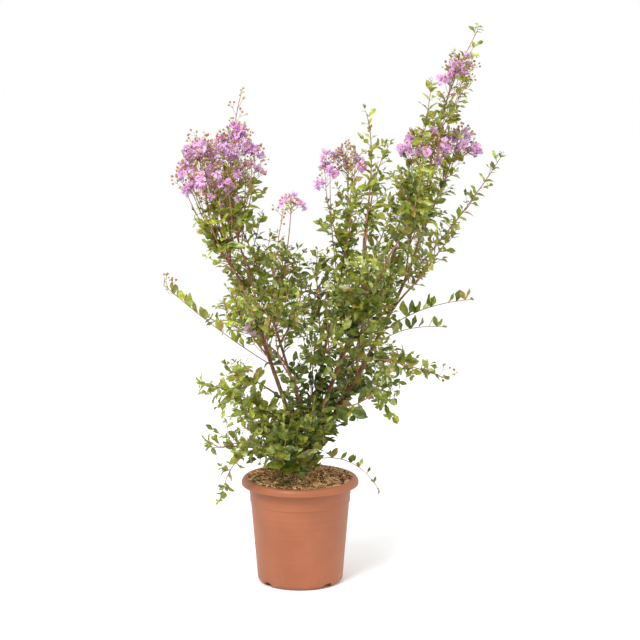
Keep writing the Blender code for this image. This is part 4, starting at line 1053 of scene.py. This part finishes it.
def makeFlowers(garden):
    rule = flowerRule
    p = petalShape
    chance = np.random.default_rng(9)
    rows = np.array(garden.blooms)
    count = len(rows)
    spot, heading, size = rows[:, 0:3], rows[:, 3:6], rows[:, 6]
    level = unit(np.cross(heading, [0.13, 0.21, 0.97]))
    up = np.cross(heading, level)
    # A petal is a grid over t, out along it, and v, from edge to edge: a thin claw that opens to a round,
    # crinkled limb. Six stand round each floret's middle.
    t = np.array(p["stations"])[:, None]
    wide = np.array(p["widths"])[:, None]
    v = np.linspace(-1, 1, p["columns"])
    turn = chance.uniform(0, math.tau, (count, 1)) + circling(6) + chance.normal(0, p["uneven"], (count, 6))
    out = level[:, None] * np.cos(turn)[..., None] + up[:, None] * np.sin(turn)[..., None]
    beside = np.cross(heading[:, None], out)
    reach = (rule["clawLength"] + rule["petalLength"]) * size[:, None, None, None]
    reach = reach * chance.uniform(*p["lengths"], (count, 6, 1, 1))
    phase = chance.uniform(0, math.tau, (3, count, 6, 1, 1))
    ruffle = np.sin(9 * v + 5 * t + phase[0]) + 0.8 * np.sin(14 * t - 4 * v + phase[1])
    ruffle = rule["crinkle"] * np.clip((t - 0.3) * 2.2, 0, 1) * ruffle
    on = reach * t * (0.80 - 0.10 * v * v * np.clip(t - 0.5, 0, 1))
    cup = p["cup"] + p["cupVaries"] * np.sin(phase[2])        # how far each petal stands up
    rise = reach * (cup * t - p["droop"] * t ** 2) + ruffle
    across = reach * wide * v + 0.4 * rule["crinkle"] * np.sin(11 * t + phase[1]) * np.clip(t - 0.3, 0, 1)
    axes = [np.broadcast_to(axis, out.shape).reshape(-1, 3) for axis in (out, beside, heading[:, None])]
    steps = [step.reshape(-1, len(t), len(v)) for step in (on, across, rise)]
    petals = placed(np.repeat(spot, 6, axis=0), axes, steps)
    faces = copies(petals[:6], [gridFaces(len(t), len(v))])[1]
    petals = petals.reshape(count, -1, 3)
    grade = np.minimum((rows[:, 7] ** 0.9 * 3).astype(int), 2)
    for number, (name, colour) in enumerate(petalTints.items()):
        shape = copies(petals[grade == number], faces)
        meshPiece(name, shape, grained(name, colour, petalLook), masses)
    # The calyx is a small cup under the petals, and the stamens are short threads with an anther each.
    paths = spot[:, None] + heading[:, None] * np.array(calyxShape["depths"])[:, None]
    radii = np.array(calyxShape["radii"]) * size[:, None]
    finish = Finish("calyx green red", (150, 112, 74), 0.6)
    meshPiece("calyxCups", tubes(paths, radii, 6), finish, masses)
    s = stamenShape
    threads = rule["stamens"]
    angle = chance.uniform(0, math.tau, (count, threads, 1))
    tilt = chance.uniform(*s["tilts"], (count, threads, 1))
    way = (heading[:, None] * np.cos(tilt) + level[:, None] * (np.sin(tilt) * np.cos(angle))
           + up[:, None] * (np.sin(tilt) * np.sin(angle)))
    tall = chance.uniform(*s["lengths"], (count, threads, 1)) * size[:, None, None]
    foot = spot[:, None] + heading[:, None] * s["foot"]
    share = np.array(s["stations"])[:, None]
    paths = (foot[:, :, None] + way[:, :, None] * tall[..., None] * share).reshape(-1, len(share), 3)
    radii = np.broadcast_to(s["radii"], paths.shape[:2])
    finish = Finish("stamen orange", (226, 160, 70), 0.6)
    meshPiece("stamens", tubes(paths, radii, 4), finish, masses)
    print("florets:", count)


def makeBuds(garden):
    # A bud is a ball drawn out to a point, on rings of seven points along its axis.
    rows = np.array(garden.buds)
    spot, heading, size = rows[:, 0:3], rows[:, 3:6], flowerRule["budRadius"] * rows[:, 6:7]
    along = np.array(budShape["stations"])[:, None] + 0.9
    paths = spot[:, None] + heading[:, None] * along * size[:, None]
    radii = np.array(budShape["widths"]) * size
    grade = (rows[:, 7] > 0.45).astype(int)
    for number, (name, colour) in enumerate(budTints.items()):
        shape = tubes(paths[grade == number], radii[grade == number], 7)
        meshPiece(name, shape, grained(name, colour, budLook), masses)
    print("buds:", len(rows))


def makeShoots(garden):
    for (name, colour), rows, sides in zip(barkTints.items(), (garden.stems, garden.twigs, garden.sprays),
                                           (7, 5, 4)):
        paths, radii = [np.array(part) for part in zip(*rows)]
        meshPiece(name, tubes(paths, radii, sides), grained(name, colour, barkLook), masses)
        print(name, len(rows))


def makeStudio():
    scene = bpy.context.scene
    scene.view_settings.view_transform = "Standard"
    camera = bpy.data.cameras.new("photoCamera")
    camera.lens = photoView["lens"]
    camera.sensor_width = photoView["sensor"]
    camera.clip_end = studio["floorSide"]
    eye = bpy.data.objects.new("photoCamera", camera)
    eye.location = photoView["place"]
    eye.rotation_euler = (math.radians(90 - photoView["pitchDown"]), 0, 0)
    scene.collection.objects.link(eye)
    scene.camera = eye
    half = studio["floorSide"] / 2
    mesh = bpy.data.meshes.new("floor")
    corners = [(-half, -half, 0), (half, -half, 0), (half, half, 0), (-half, half, 0)]
    mesh.from_pydata(corners, [], [(0, 1, 2, 3)])
    mesh.materials.append(Finish("pale floor", studio["floorColour"], 0.9).material)
    floor = bpy.data.objects.new("floor", mesh)
    scene.collection.objects.link(floor)
    world = bpy.data.worlds.new("studio")
    world.use_nodes = True
    sky = world.node_tree.nodes["Background"]
    sky.inputs["Color"].default_value = (1, 1, 1, 1)
    sky.inputs["Strength"].default_value = studio["skyStrength"]
    scene.world = world
    for name, (place, power) in lamps.items():
        lamp = bpy.data.lights.new(name, "AREA")
        lamp.energy = power
        lamp.size = studio["lampSize"]
        lamp.spread = math.radians(studio["spread"])
        holder = bpy.data.objects.new(name, lamp)
        holder.location = place
        holder.rotation_euler = (Vector(studio["aim"]) - Vector(place)).to_track_quat("-Z", "Y").to_euler()
        scene.collection.objects.link(holder)


makePot()
makeMixBed()
makeChips()
limbLines = makeBark()
makeLitter()
garden = Garden()
for massName, massRow in masses.items():
    growMass(garden, massName, massRow, flowering.get(massName, {}), limbLines)
for limbName, (first, last, step, tone, seed) in limbSprays.items():
    chance = random.Random(limbName + str(seed))
    growSprays(garden, limbLines[limbName], first, last, step, 1.0, tone, chance)
print("grown:", len(garden.leaves), "leaves")
makeShoots(garden)
makeLeaves(garden)
makeFlowers(garden)
makeBuds(garden)
makeStudio()
